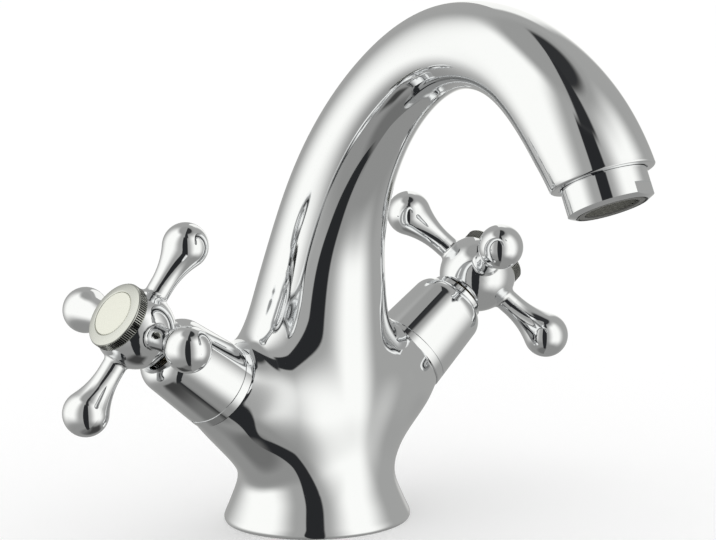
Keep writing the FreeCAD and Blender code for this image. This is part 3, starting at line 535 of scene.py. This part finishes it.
class CastingSkin:
    """The casting's skin: round sections on a curve, blended with two flared valve arms."""

    section_names = (
        "foot", "edge", "crown", "flare", "waist", "belly", "shoulder", "throat",
        "neck", "rise", "climb", "crest", "brow", "fall", "lip")

    def __init__(self, body):
        self.body = body
        self.spine = Spine([getattr(body, name) for name in self.section_names])
        self.crest_mark = self.spine.marks[self.section_names.index("crest")]
        self.fall_mark = self.spine.marks[self.section_names.index("fall")]
        self.lip_mark = self.spine.marks[-1]
        self.column_marks = np.linspace(0.0, self.crest_mark, column_samples)
        self.column = self.spine.at(self.column_marks)[0]

    def mark_at_height(self, height):
        """The distance along the curve at which the column reaches a height."""
        return float(np.interp(height, self.column[:, 1], self.column_marks))

    def sections(self, marks, angles):
        """Points round the curve: rows at distances along it, columns at angles from +X to the back."""
        body = self.body
        place, slope = self.spine.at(marks)
        square = np.arctan2(slope[:, 0], slope[:, 1])
        on_column = square * eased(place[:, 1], body.level_height, body.square_height)
        mouth_lean = math.pi - body.outlet_tilt
        to_mouth = square + (mouth_lean - square) * eased(marks, self.fall_mark, self.lip_mark)
        lean = np.where(marks < self.crest_mark, on_column, to_mouth)[:, None]
        side = place[:, 2:] * np.cos(angles)
        back = place[:, 2:] * np.sin(angles)
        return np.stack(
            (side, back * np.cos(lean) - place[:, :1], back * np.sin(lean) + place[:, 1:2]), axis=-1)

    def arm_ring(self, side, along, radius, angles):
        """Points round a valve's axis, at angles from its upper side to the back."""
        axis, rise = valve_axes(self.body, side)
        centre = np.array((0.0, 0.0, self.body.valve_height)) + along * np.array(axis)
        return circle_points(centre, rise, (0.0, 1.0, 0.0), radius, angles)

    def arm_distance(self, side, x, y, height):
        """How far points are outside one arm, and the reach of its blend with the column there."""
        body = self.body
        axis, rise = valve_axes(body, side)
        along = x * axis[0] + height * axis[2]
        upward = x * rise[0] + height * rise[2]
        from_end = body.arm_end - along
        half_height = body.arm_radius + from_end * math.tan(body.arm_flare)
        half_depth = body.arm_radius + from_end * math.tan(body.swell_angle)
        half_depth = smooth_least(half_depth, body.arm_radius + body.swell_depth, body.swell_round)
        across = np.hypot(upward, y * half_height / half_depth)
        outside = (across - half_height) * math.cos(body.arm_flare)
        distance = -smooth_least(-outside, along - body.arm_root, body.root_round)
        slope = upward / across
        above = eased(slope, body.upper_start, body.upper_full)
        below = eased(-slope, body.lower_start, body.lower_full)
        reach = body.front_blend + (body.upper_blend - body.front_blend) * above
        reach = reach + (body.lower_blend - body.front_blend) * below
        reach = reach * eased(side * x, body.middle_start, body.middle_full) + body.least_blend
        return distance, reach

    def distance(self, points):
        """How far points are outside the blended casting."""
        x, y, z = np.moveaxis(points, -1, 0)
        forward = np.interp(z, self.column[:, 1], self.column[:, 0])
        radius = np.interp(z, self.column[:, 1], self.column[:, 2])
        least = np.hypot(x, y + forward) - radius
        for side in valve_sides.values():
            arm, reach = self.arm_distance(side, x, y, z - self.body.valve_height)
            least = smooth_least(least, arm, reach)
        return least

    def settle(self, points):
        """Points moved onto the blended skin along its slope."""
        for _ in range(settle_rounds):
            distance = self.distance(points)
            nudged = [self.distance(points + settle_step * way) for way in np.eye(3)]
            slope = (np.stack(nudged, axis=-1) - distance[..., None]) / settle_step
            points = points - slope * (distance / np.sum(slope * slope, axis=-1))[..., None]
        return points

    def grid(self, marks, angles):
        """A grid of skin points: blended with the arms low on the column, plain above."""
        points = self.sections(marks, angles)
        heights = self.spine.at(marks)[0][:, 1]
        low = (heights < self.body.level_height) & (marks < self.crest_mark)
        points[low] = self.settle(points[low])
        return points


def underside_rings(body, angles):
    """Rings from the middle of the base, over the gasket's groove, to the foot's edge."""
    outline = (
        (0.0, 0.0),
        (body.groove_inner, 0.0),
        (body.groove_inner, body.groove_depth),
        (body.groove_outer, body.groove_depth),
        (body.groove_outer, 0.0),
    )
    rings = []
    for radius, height in outline:
        rings.append(circle_points((0.0, 0.0, height), (1.0, 0.0, 0.0), (0.0, 1.0, 0.0), radius, angles))
    return np.array(rings)


def mouth_rings(body, angles):
    """Rings from the rounded lip into the aerator's socket."""
    forward, height, lip_radius = body.lip
    centre = np.array((0.0, -forward, height))
    inward = np.array((0.0, math.sin(body.outlet_tilt), math.cos(body.outlet_tilt)))
    back = (0.0, -math.cos(body.outlet_tilt), math.sin(body.outlet_tilt))
    outline = []
    for turn in np.linspace(0.0, quarter_turn, lip_steps + 1)[1:]:
        depth = body.lip_fillet * (1.0 - math.sin(turn))
        outline.append((lip_radius - body.lip_fillet * (1.0 - math.cos(turn)), depth))
    outline.append((body.mouth_radius, 0.0))
    outline.append((body.mouth_radius, body.mouth_depth))
    outline.append((body.socket_radius, body.mouth_depth))
    outline.append((body.socket_radius, body.socket_depth))
    outline.append((0.0, body.socket_depth))
    rings = []
    for radius, depth in outline:
        rings.append(circle_points(centre + depth * inward, (1.0, 0.0, 0.0), back, radius, angles))
    return np.array(rings)


def arm_grids(skin, side, low, high, junction_marks):
    """The four strips from the column to an arm's round end, each with its share of the chamber."""
    body = skin.body
    middle = 0.0 if side > 0.0 else math.pi
    front_corner = middle - side * body.corner
    back_corner = middle + side * body.corner
    across = np.linspace(front_corner, back_corner, sector_steps + 1)
    downward = junction_marks[::-1]
    eighth = 0.5 * quarter_turn
    strips = (
        (skin.grid(np.array([high]), across)[0], (-eighth, eighth)),
        (skin.grid(downward, np.array([back_corner]))[:, 0], (eighth, 3.0 * eighth)),
        (skin.grid(np.array([low]), across)[0], (-3.0 * eighth, -5.0 * eighth)),
        (skin.grid(downward, np.array([front_corner]))[:, 0], (-eighth, -3.0 * eighth)),
    )
    grids = []
    for edge, (start, end) in strips:
        angles = np.linspace(start, end, len(edge))
        rim = skin.arm_ring(side, body.arm_end, body.arm_radius, angles)
        shares = np.linspace(0.0, 1.0, arm_steps + 1)[1:-1, None, None]
        rows = [edge, *skin.settle(edge + (rim - edge) * shares), rim]
        rows.append(skin.arm_ring(side, body.arm_end, body.chamber_radius, angles))
        rows.append(skin.arm_ring(side, body.chamber_seat, body.chamber_radius, angles))
        rows.append(skin.arm_ring(side, body.chamber_seat, 0.0, angles))
        grids.append(np.array(rows))
    return grids


def casting_grids(body):
    """Grids of points that together make the casting's whole surface.

    The skin has a sector at each arm, at the back and at the front. Between the rings under and over the
    arms, the arms' strips take the place of the two side sectors.
    """
    skin = CastingSkin(body)
    low = skin.mark_at_height(body.low_ring)
    high = skin.mark_at_height(body.high_ring)
    base_marks = np.linspace(0.0, low, base_steps + 1)
    junction_marks = np.linspace(low, high, sector_steps + 1)
    spout_marks = np.linspace(high, skin.lip_mark - body.lip_fillet, spout_steps + 1)
    corner = body.corner
    sectors = {
        "right": (-corner, corner),
        "back": (corner, math.pi - corner),
        "left": (math.pi - corner, math.pi + corner),
        "front": (math.pi + corner, 2.0 * math.pi - corner),
    }
    grids = []
    for name, (start, end) in sectors.items():
        angles = np.linspace(start, end, sector_steps + 1)
        grids.append(np.concatenate((underside_rings(body, angles), skin.grid(base_marks, angles))))
        grids.append(np.concatenate((skin.grid(spout_marks, angles), mouth_rings(body, angles))))
        if name in ("back", "front"):
            grids.append(skin.grid(junction_marks, angles))
    for side in valve_sides.values():
        grids.extend(arm_grids(skin, side, low, high, junction_marks))
    return grids


def mesh_from_grids(name, grids):
    """One object from grids of points that meet along their borders."""
    points = []
    faces = []
    for grid in grids:
        rows, columns = grid.shape[:2]
        start = len(points)
        points.extend(grid.reshape(-1, 3).tolist())
        for row in range(rows - 1):
            for column in range(columns - 1):
                first = start + row * columns + column
                faces.append((first, first + 1, first + columns + 1, first + columns))
    mesh = bpy.data.meshes.new(name)
    mesh.from_pydata(points, [], faces)
    piece = bpy.data.objects.new(name, mesh)
    bpy.context.collection.objects.link(piece)
    select_only(piece)
    bpy.ops.object.mode_set(mode="EDIT")
    bpy.ops.mesh.select_all(action="SELECT")
    bpy.ops.mesh.remove_doubles(threshold=merge_distance)
    bpy.ops.mesh.normals_make_consistent(inside=False)
    bpy.ops.object.mode_set(mode="OBJECT")
    return piece


def bore_hole(piece, x, y, radius, depth):
    """Bore a round hole upwards from the deck."""
    bpy.ops.object.select_all(action="DESELECT")
    bpy.ops.mesh.primitive_cylinder_add(
        vertices=hole_sides, radius=radius, depth=2.0 * depth, location=(x, y, 0.0))
    cutter = bpy.context.active_object
    bpy.context.view_layer.objects.active = piece
    bpy.ops.object.modifier_add(type="BOOLEAN")
    bore = piece.modifiers[-1]
    bore.operation = "DIFFERENCE"
    bore.object = cutter
    bpy.ops.object.modifier_apply(modifier=bore.name)
    bpy.data.objects.remove(cutter)


class TAP_OT_cast_body(bpy.types.Operator):
    """Cast the body: base, column, valve arms and arched spout in one smooth skin"""

    bl_idname = "tap.cast_body"
    bl_label = "Cast Body"

    def execute(self, context):
        body = tap_body()
        piece = mesh_from_grids("cast_body", casting_grids(body))
        for side in valve_sides.values():
            bore_hole(piece, side * body.inlet_offset, 0.0, body.inlet_radius, body.inlet_depth)
        bore_hole(piece, 0.0, body.stud_offset, body.stud_radius, body.stud_depth)
        polish = bpy.data.materials["chrome_body_finish"]
        dress(piece, (polish,), casting_edge_angle, "body", "body_casting")
        return {"FINISHED"}


def turned_piece(name, count, rows):
    """A piece of revolution about Z, drawn ring by ring through rows of radius and height."""
    bpy.ops.object.select_all(action="DESELECT")
    radius, height = rows[0]
    bpy.ops.mesh.primitive_circle_add(vertices=count, radius=radius, fill_type="NGON")
    piece = bpy.context.active_object
    piece.name = name
    bpy.ops.object.mode_set(mode="EDIT")
    bpy.ops.mesh.select_all(action="SELECT")
    bpy.ops.transform.translate(value=(0.0, 0.0, height))
    bpy.ops.mesh.select_mode(type="EDGE")
    bpy.ops.mesh.region_to_loop()
    for next_radius, next_height in rows[1:]:
        share = next_radius / radius
        bpy.ops.mesh.extrude_edges_indiv()
        bpy.ops.transform.translate(value=(0.0, 0.0, next_height - height))
        bpy.ops.transform.resize(value=(share, share, 1.0), center_override=(0.0, 0.0, next_height))
        radius, height = next_radius, next_height
    bpy.ops.mesh.edge_face_add()
    bpy.ops.mesh.select_mode(type="VERT")
    bpy.ops.mesh.select_all(action="SELECT")
    bpy.ops.mesh.normals_make_consistent(inside=False)
    bpy.ops.object.mode_set(mode="OBJECT")
    return piece


def set_on_axis(piece, across, axis, middle):
    """Put a piece drawn about Z on another axis, with its place in its mesh."""
    axes = Matrix((across, axis.cross(across), axis)).transposed()
    piece.matrix_world = Matrix.Translation(middle) @ axes.to_4x4()
    select_only(piece)
    bpy.ops.object.transform_apply(location=True, rotation=True, scale=True)


def set_on_valve(piece, side):
    """Put a piece drawn about Z on a valve's axis."""
    body = tap_body()
    axis, rise = valve_axes(body, side)
    set_on_axis(piece, Vector(rise), Vector(axis), Vector((0.0, 0.0, body.valve_height)))


def rounded_corner(corner_radius, corner_height, radial, upward):
    """Rows round a corner: the way in is along the height, the way out along the radius."""
    rows = []
    for step in range(corner_steps + 1):
        turn = quarter_turn * step / corner_steps
        rows.append((
            corner_radius + radial * (1.0 - math.cos(turn)),
            corner_height + upward * (1.0 - math.sin(turn))))
    return rows


def cap_ring_rows(trim):
    """Radius and height round a cap ring's section, from inside its skirt to the disc's seat."""
    low = trim.hub_front
    top = low + trim.cap_height
    face_top = top + trim.cap_face_rise
    foot = trim.cap_radius - trim.knurl_depth - trim.knurl_relief
    brow = trim.cap_radius - knurl_brow * trim.knurl_depth
    inner_edge = trim.face_inner - trim.disc_bore
    rows = [
        (trim.skirt_inner, low),
        (trim.skirt_inner, low - trim.skirt_length),
        (trim.skirt_outer, low - trim.skirt_length),
        (trim.skirt_outer, low),
        (foot, low),
        (foot, low + trim.knurl_foot),
        (trim.cap_radius, low + trim.knurl_foot),
        (trim.cap_radius, top - trim.cap_round),
    ]
    rows.extend(rounded_corner(brow, top, -trim.cap_round, -trim.cap_round))
    rows.extend(reversed(rounded_corner(trim.disc_bore, face_top, inner_edge, -trim.face_round)))
    rows.append((trim.disc_bore, trim.disc_seat))
    return rows


def cut_knurl(piece, trim):
    """Press grooves into the ring's outermost rows and give them the second finish, a dark painted shade
    for the shade in their roots.
    """
    step = 2.0 * math.pi / (columns_per_tooth * trim.knurl_count)
    share = 1.0 - trim.knurl_depth / trim.cap_radius
    # Halfway from the teeth's tips to the brow
    tip_limit = trim.cap_radius - 0.5 * knurl_brow * trim.knurl_depth
    groove = set()
    for vertex in piece.data.vertices:
        column = round(math.atan2(vertex.co.y, vertex.co.x) / step)
        on_tip = math.hypot(vertex.co.x, vertex.co.y) > tip_limit
        if on_tip and column % columns_per_tooth < groove_columns:
            vertex.co.xy *= share
            groove.add(vertex.index)
    # Faces in the grooves take the dark painted shade
    for face in piece.data.polygons:
        if len(groove.intersection(face.vertices)) >= groove_corners:
            face.material_index = 1


class TAP_OT_turn_cap_rings(bpy.types.Operator):
    """Turn the two knurled cap rings"""

    bl_idname = "tap.turn_cap_rings"
    bl_label = "Turn Cap Rings"

    def execute(self, context):
        trim = tap_trim()
        finishes = tap_finishes()
        satin = chrome_material("cap_ring_finish", finishes.satin, finishes.satin_roughness)
        # The grooves' dark finish is painted shade for the knurl's shaded roots
        groove_shade = grained_material(
            "knurl_groove_finish", finishes.groove_shade,
            metallic=1.0, roughness=0.4, grain=1500.0, depth=0.00001)
        columns = columns_per_tooth * trim.knurl_count
        for name, side in valve_sides.items():
            ring = turned_piece(name + "_cap_trim", columns, cap_ring_rows(trim))
            cut_knurl(ring, trim)
            set_on_valve(ring, side)
            dress(
                ring, (satin, groove_shade), ring_edge_angle,
                name + "_handle", name + "_cap_ring")
        return {"FINISHED"}


def index_disc_rows(trim):
    """Radius and height round an index disc's section, from its back to its crown."""
    rows = [(trim.disc_radius, trim.disc_seat)]
    rows.extend(rounded_corner(trim.disc_radius, trim.disc_height, -trim.disc_round, -trim.disc_round))
    rim = trim.disc_radius - trim.disc_round
    for share in disc_rings:
        rows.append((rim * share, trim.disc_height + trim.disc_crown * (1.0 - share * share)))
    return rows


class TAP_OT_set_index_discs(bpy.types.Operator):
    """Set the two cream index discs in their rings"""

    bl_idname = "tap.set_index_discs"
    bl_label = "Set Index Discs"

    def execute(self, context):
        trim = tap_trim()
        glaze = bpy.data.materials["index_cream_finish"]
        for name, side in valve_sides.items():
            disc = turned_piece(name + "_index_face", disc_sides, index_disc_rows(trim))
            set_on_valve(disc, side)
            dress(
                disc, (glaze,), disc_edge_angle,
                name + "_handle", name + "_index_disc")
        return {"FINISHED"}


def wire_pattern(trim):
    """One straight wire along X, a metre long, to be copied."""
    bpy.ops.object.select_all(action="DESELECT")
    bpy.ops.mesh.primitive_cylinder_add(
        vertices=wire_sides, radius=trim.wire_radius, depth=1.0, rotation=(0.0, quarter_turn, 0.0))
    bpy.ops.object.transform_apply(location=True, rotation=True, scale=True)
    return bpy.context.active_object


def screen_hoop(trim):
    """The ring that the screen's wires end in."""
    bpy.ops.mesh.primitive_torus_add(
        major_radius=trim.screen_radius - trim.wire_radius, minor_radius=trim.wire_radius,
        major_segments=hoop_segments, minor_segments=hoop_sides)
    hoop = bpy.context.active_object
    hoop.location.z = trim.screen_recess + 2.0 * trim.wire_radius
    return hoop


def lay_wires(pattern, trim):
    """Copies of a wire in two crossing layers, each stretched across the hoop."""
    wires = []
    reach = int((trim.screen_radius - trim.wire_radius) / trim.wire_pitch)
    for layer in range(wire_layers):
        turn = Matrix.Rotation(quarter_turn * layer, 4, "Z")
        depth = trim.screen_recess + (1.0 + 2.0 * layer) * trim.wire_radius
        for index in range(-reach, reach + 1):
            offset = index * trim.wire_pitch
            chord = 2.0 * math.sqrt(trim.screen_radius ** 2 - offset ** 2)
            stretch = Matrix.Diagonal((chord, 1.0, 1.0, 1.0))
            wire = pattern.copy()
            wire.data = pattern.data.copy()
            bpy.context.collection.objects.link(wire)
            wire.matrix_world = turn @ Matrix.Translation((0.0, offset, depth)) @ stretch
            wires.append(wire)
    return wires


class TAP_OT_weave_screen(bpy.types.Operator):
    """Weave the aerator's wire screen"""

    bl_idname = "tap.weave_screen"
    bl_label = "Weave Screen"

    def execute(self, context):
        trim = tap_trim()
        pattern = wire_pattern(trim)
        screen = screen_hoop(trim)
        screen.name = "aerator_mesh"
        wires = lay_wires(pattern, trim)
        bpy.data.objects.remove(pattern)
        select_only(screen)
        for wire in wires:
            wire.select_set(True)
        bpy.ops.object.join()
        bpy.ops.object.transform_apply(location=True, rotation=True, scale=True)
        tilt = tap_body().outlet_tilt
        inward = Vector((0.0, math.sin(tilt), math.cos(tilt)))
        set_on_axis(screen, Vector((1.0, 0.0, 0.0)), inward, Vector(trim.outlet_face))
        # The wires' colour is their steel, darkened as painted shade for the screen in its recess
        steel = grained_material(
            "screen_finish", tap_finishes().wire,
            metallic=1.0, roughness=0.22, grain=1800.0, depth=0.00001)
        dress(screen, (steel,), screen_edge_angle, "body", "aerator_screen")
        return {"FINISHED"}


def tent_cards():
    """Areas of the tent's cloth: brightness, then azimuth and elevation windows in degrees.

    Azimuth is measured from the camera, positive to its right. A window fades in between its first two
    angles and out between its last two. Later cards lie over earlier ones.
    """
    return [
        ("ground_sheet", 0.29, (-200.0, -190.0, 190.0, 200.0), (-100.0, -95.0, -46.0, -20.0)),
        ("nadir", 0.17, (-200.0, -190.0, 8.0, 22.0), (-100.0, -95.0, -72.0, -58.0)),
        ("roof", 0.34, (-200.0, -190.0, 190.0, 200.0), (56.0, 68.0, 95.0, 100.0)),
        ("left_panel", 1.06, (-150.0, -98.0, -66.0, -31.0), (-36.0, -6.0, 52.0, 68.0)),
        ("right_panel", 1.06, (10.0, 50.0, 70.0, 112.0), (-54.0, -20.0, 40.0, 66.0)),
        ("back_drop", 1.00, (150.0, 166.0, 190.0, 200.0), (-20.0, -5.0, 40.0, 48.0)),
        ("roof_gap", 0.035, (2.0, 14.0, 168.0, 180.0), (66.0, 74.0, 95.0, 100.0)),
        ("slit", 0.025, (-19.5, -17.5, 6.0, 9.5), (-78.0, -68.0, 48.0, 56.0)),
        ("slit_head", 0.03, (-14.0, -9.0, 12.0, 18.0), (44.0, 52.0, 95.0, 100.0)),
    ]


def tent_directions(shading):
    """Azimuth from the camera and elevation of a point on the tent, in radians."""
    stage = tap_stage()
    toward = Vector(stage.camera_place) - Vector(stage.camera_target)
    turn = (0.0, 0.0, -math.atan2(toward.y, toward.x))
    turned = shading.add("ShaderNodeMapping", {"Vector": shading.place(), "Rotation": turn})["Vector"]
    parts = shading.add("ShaderNodeSeparateXYZ", {"Vector": turned})
    azimuth = shading.compute("ARCTAN2", parts["Y"], parts["X"])
    rise = shading.compute("DIVIDE", parts["Z"], stage.tent_radius)
    return azimuth, shading.compute("ARCSINE", rise)


def tent_tint(shading, grey):
    """The cloth's tint at a brightness: cooler where it is dark."""
    stage = tap_stage()
    tint = shading.add("ShaderNodeValToRGB", {"Fac": grey})["Color"]
    ramp = tint.node.color_ramp
    darkest, brightest = ramp.elements
    darkest.color = rgba(stage.dark_tint)
    brightest.color = rgba(stage.bright_tint)
    ramp.elements.new(stage.grey_level).color = rgba(stage.grey_tint)
    return tint


def tent_material():
    """Lit cloth: bright panels on grey, with a dark slit at the camera and dark cloth overhead."""
    shading = Shading("tent_cloth")
    azimuth, elevation = tent_directions(shading)
    grey = tap_stage().tent_grey
    for name, brightness, across, upward in tent_cards():
        sideways = shading.window(azimuth, *map(math.radians, across))
        upright = shading.window(elevation, *map(math.radians, upward))
        cover = shading.compute("MULTIPLY", sideways, upright)
        tones = {mix_factor: cover, mix_value_a: grey, mix_value_b: brightness}
        grey = shading.add("ShaderNodeMix", tones, label=name)[mix_value_result]
    glow = {"Color": tent_tint(shading, grey), "Strength": grey}
    return shading.finish(shading.add("ShaderNodeEmission", glow)["Emission"])


def flag_material():
    """Dark cloth with soft edges, seen from above only."""
    stage = tap_stage()
    shading = Shading("flag_cloth")
    parts = shading.add("ShaderNodeSeparateXYZ", {"Vector": shading.place()})
    below = shading.add("ShaderNodeNewGeometry", {})["Backfacing"]
    cover = shading.compute("SUBTRACT", 1.0, below)
    for axis, half in zip("XY", stage.flag_half):
        inside = half - stage.flag_soft
        cover = shading.compute(
            "MULTIPLY", cover, shading.window(parts[axis], -half, -inside, inside, half))
    clear = shading.add("ShaderNodeBsdfTransparent", {})["BSDF"]
    glow = {"Color": rgba(stage.grey_tint), "Strength": stage.flag_grey}
    cloth = shading.add("ShaderNodeEmission", glow)["Emission"]
    layers = {mix_factor: cover, mix_shader_a: clear, mix_shader_b: cloth}
    return shading.finish(shading.add("ShaderNodeMixShader", layers)["Shader"])


def floor_material():
    """Pale matt paper that shows white to the camera and keeps the shadow."""
    stage = tap_stage()
    shading = Shading("floor_paper")
    rays = shading.add("ShaderNodeLightPath", {})
    seen = shading.compute("MAXIMUM", rays["Is Camera Ray"], rays["Is Glossy Ray"])
    seen = shading.compute("MAXIMUM", seen, rays["Is Transmission Ray"])
    return shading.surface({
        "Base Color": rgba(stage.floor_colour),
        "Roughness": 1.0,
        "Specular IOR Level": 0.0,
        "Emission Color": white,
        "Emission Strength": shading.compute("MULTIPLY", seen, stage.floor_glow),
    })


def add_floor():
    """Lay the floor, which the chrome doesn't mirror."""
    bpy.ops.mesh.primitive_plane_add(size=tap_stage().floor_size)
    floor = bpy.context.active_object
    floor.name = "floor"
    floor.data.materials.append(floor_material())
    floor.visible_glossy = False


def show_in_chrome_only(cloth):
    """Let a cloth show in reflections, and neither to the camera nor as light or shadow."""
    cloth.visible_camera = False
    cloth.visible_diffuse = False
    cloth.visible_shadow = False


def add_tent():
    """Put the light tent round the tap."""
    stage = tap_stage()
    bpy.ops.mesh.primitive_uv_sphere_add(
        segments=tent_segments, ring_count=tent_rings,
        radius=stage.tent_radius, location=stage.tent_centre)
    tent = bpy.context.active_object
    tent.name = "light_tent"
    tent.data.materials.append(tent_material())
    show_in_chrome_only(tent)


def add_flag():
    """Hold the dark flag under the hot valve."""
    stage = tap_stage()
    bpy.ops.mesh.primitive_plane_add(size=1.0, location=stage.flag_centre)
    flag = bpy.context.active_object
    flag.name = "dark_flag"
    for vertex in flag.data.vertices:
        vertex.co.x *= 2.0 * stage.flag_half[0]
        vertex.co.y *= 2.0 * stage.flag_half[1]
    flag.data.materials.append(flag_material())
    show_in_chrome_only(flag)


def set_world():
    """A plain white surround."""
    world = bpy.data.worlds.new("white_surround")
    bpy.context.scene.world = world
    world.use_nodes = True
    light = world.node_tree.nodes["Background"].inputs
    light["Color"].default_value = white
    light["Strength"].default_value = 1.0


def add_camera():
    """Stand the camera where the view needs it, with its roll."""
    stage = tap_stage()
    place = Vector(stage.camera_place)
    ahead = (Vector(stage.camera_target) - place).normalized()
    right = ahead.cross(Vector((0.0, 0.0, 1.0))).normalized()
    up = right.cross(ahead)
    turned_right = right * math.cos(stage.camera_roll) + up * math.sin(stage.camera_roll)
    turned_up = up * math.cos(stage.camera_roll) - right * math.sin(stage.camera_roll)
    axes = Matrix((turned_right, turned_up, -ahead)).transposed()
    bpy.ops.object.camera_add()
    camera = bpy.context.active_object
    camera.name = "view_camera"
    camera.matrix_world = Matrix.Translation(place) @ axes.to_4x4()
    camera.data.lens = stage.camera_lens
    camera.data.sensor_width = sensor_width
    camera.data.clip_start = camera_near
    camera.data.clip_end = camera_far
    bpy.context.scene.camera = camera


class TAP_OT_set_stage(bpy.types.Operator):
    """Set the floor, light tent, dark flag, surround and camera"""

    bl_idname = "tap.set_stage"
    bl_label = "Set Stage"

    def execute(self, context):
        bpy.ops.object.select_all(action="DESELECT")
        add_floor()
        add_tent()
        add_flag()
        set_world()
        add_camera()
        context.scene.view_settings.view_transform = "Standard"
        return {"FINISHED"}


class TAP_PT_sidebar(bpy.types.Panel):
    """The tap's steps and values"""

    bl_idname = "TAP_PT_sidebar"
    bl_label = "Basin Mixer Tap"
    bl_space_type = "VIEW_3D"
    bl_region_type = "UI"
    bl_category = "Tap"

    def draw(self, context):
        for operator in operators:
            self.layout.operator(operator.bl_idname)
        for values in (tap_finishes(), tap_body(), tap_trim(), tap_stage()):
            box = self.layout.box()
            for name in values.__annotations__:
                box.prop(values, name)


operators = (
    TAP_OT_finish_nodes,
    TAP_OT_cast_body,
    TAP_OT_turn_cap_rings,
    TAP_OT_set_index_discs,
    TAP_OT_weave_screen,
    TAP_OT_set_stage,
)
classes = (TapFinishes, TapBody, TapTrim, TapStage, *operators, TAP_PT_sidebar)


def register():
    """Add the classes and their values to the scene."""
    for item in classes:
        bpy.utils.register_class(item)
    bpy.types.Scene.tap_finishes = bpy.props.PointerProperty(type=TapFinishes)
    bpy.types.Scene.tap_body = bpy.props.PointerProperty(type=TapBody)
    bpy.types.Scene.tap_trim = bpy.props.PointerProperty(type=TapTrim)
    bpy.types.Scene.tap_stage = bpy.props.PointerProperty(type=TapStage)


def unregister():
    """Take the classes and their values away again."""
    del bpy.types.Scene.tap_stage
    del bpy.types.Scene.tap_trim
    del bpy.types.Scene.tap_body
    del bpy.types.Scene.tap_finishes
    for item in reversed(classes):
        bpy.utils.unregister_class(item)


def main():
    """Dress the tap and set its stage."""
    register()
    bpy.ops.tap.finish_nodes()
    bpy.ops.tap.cast_body()
    bpy.ops.tap.turn_cap_rings()
    bpy.ops.tap.set_index_discs()
    bpy.ops.tap.weave_screen()
    bpy.ops.tap.set_stage()


if __name__ == "__main__":
    main()
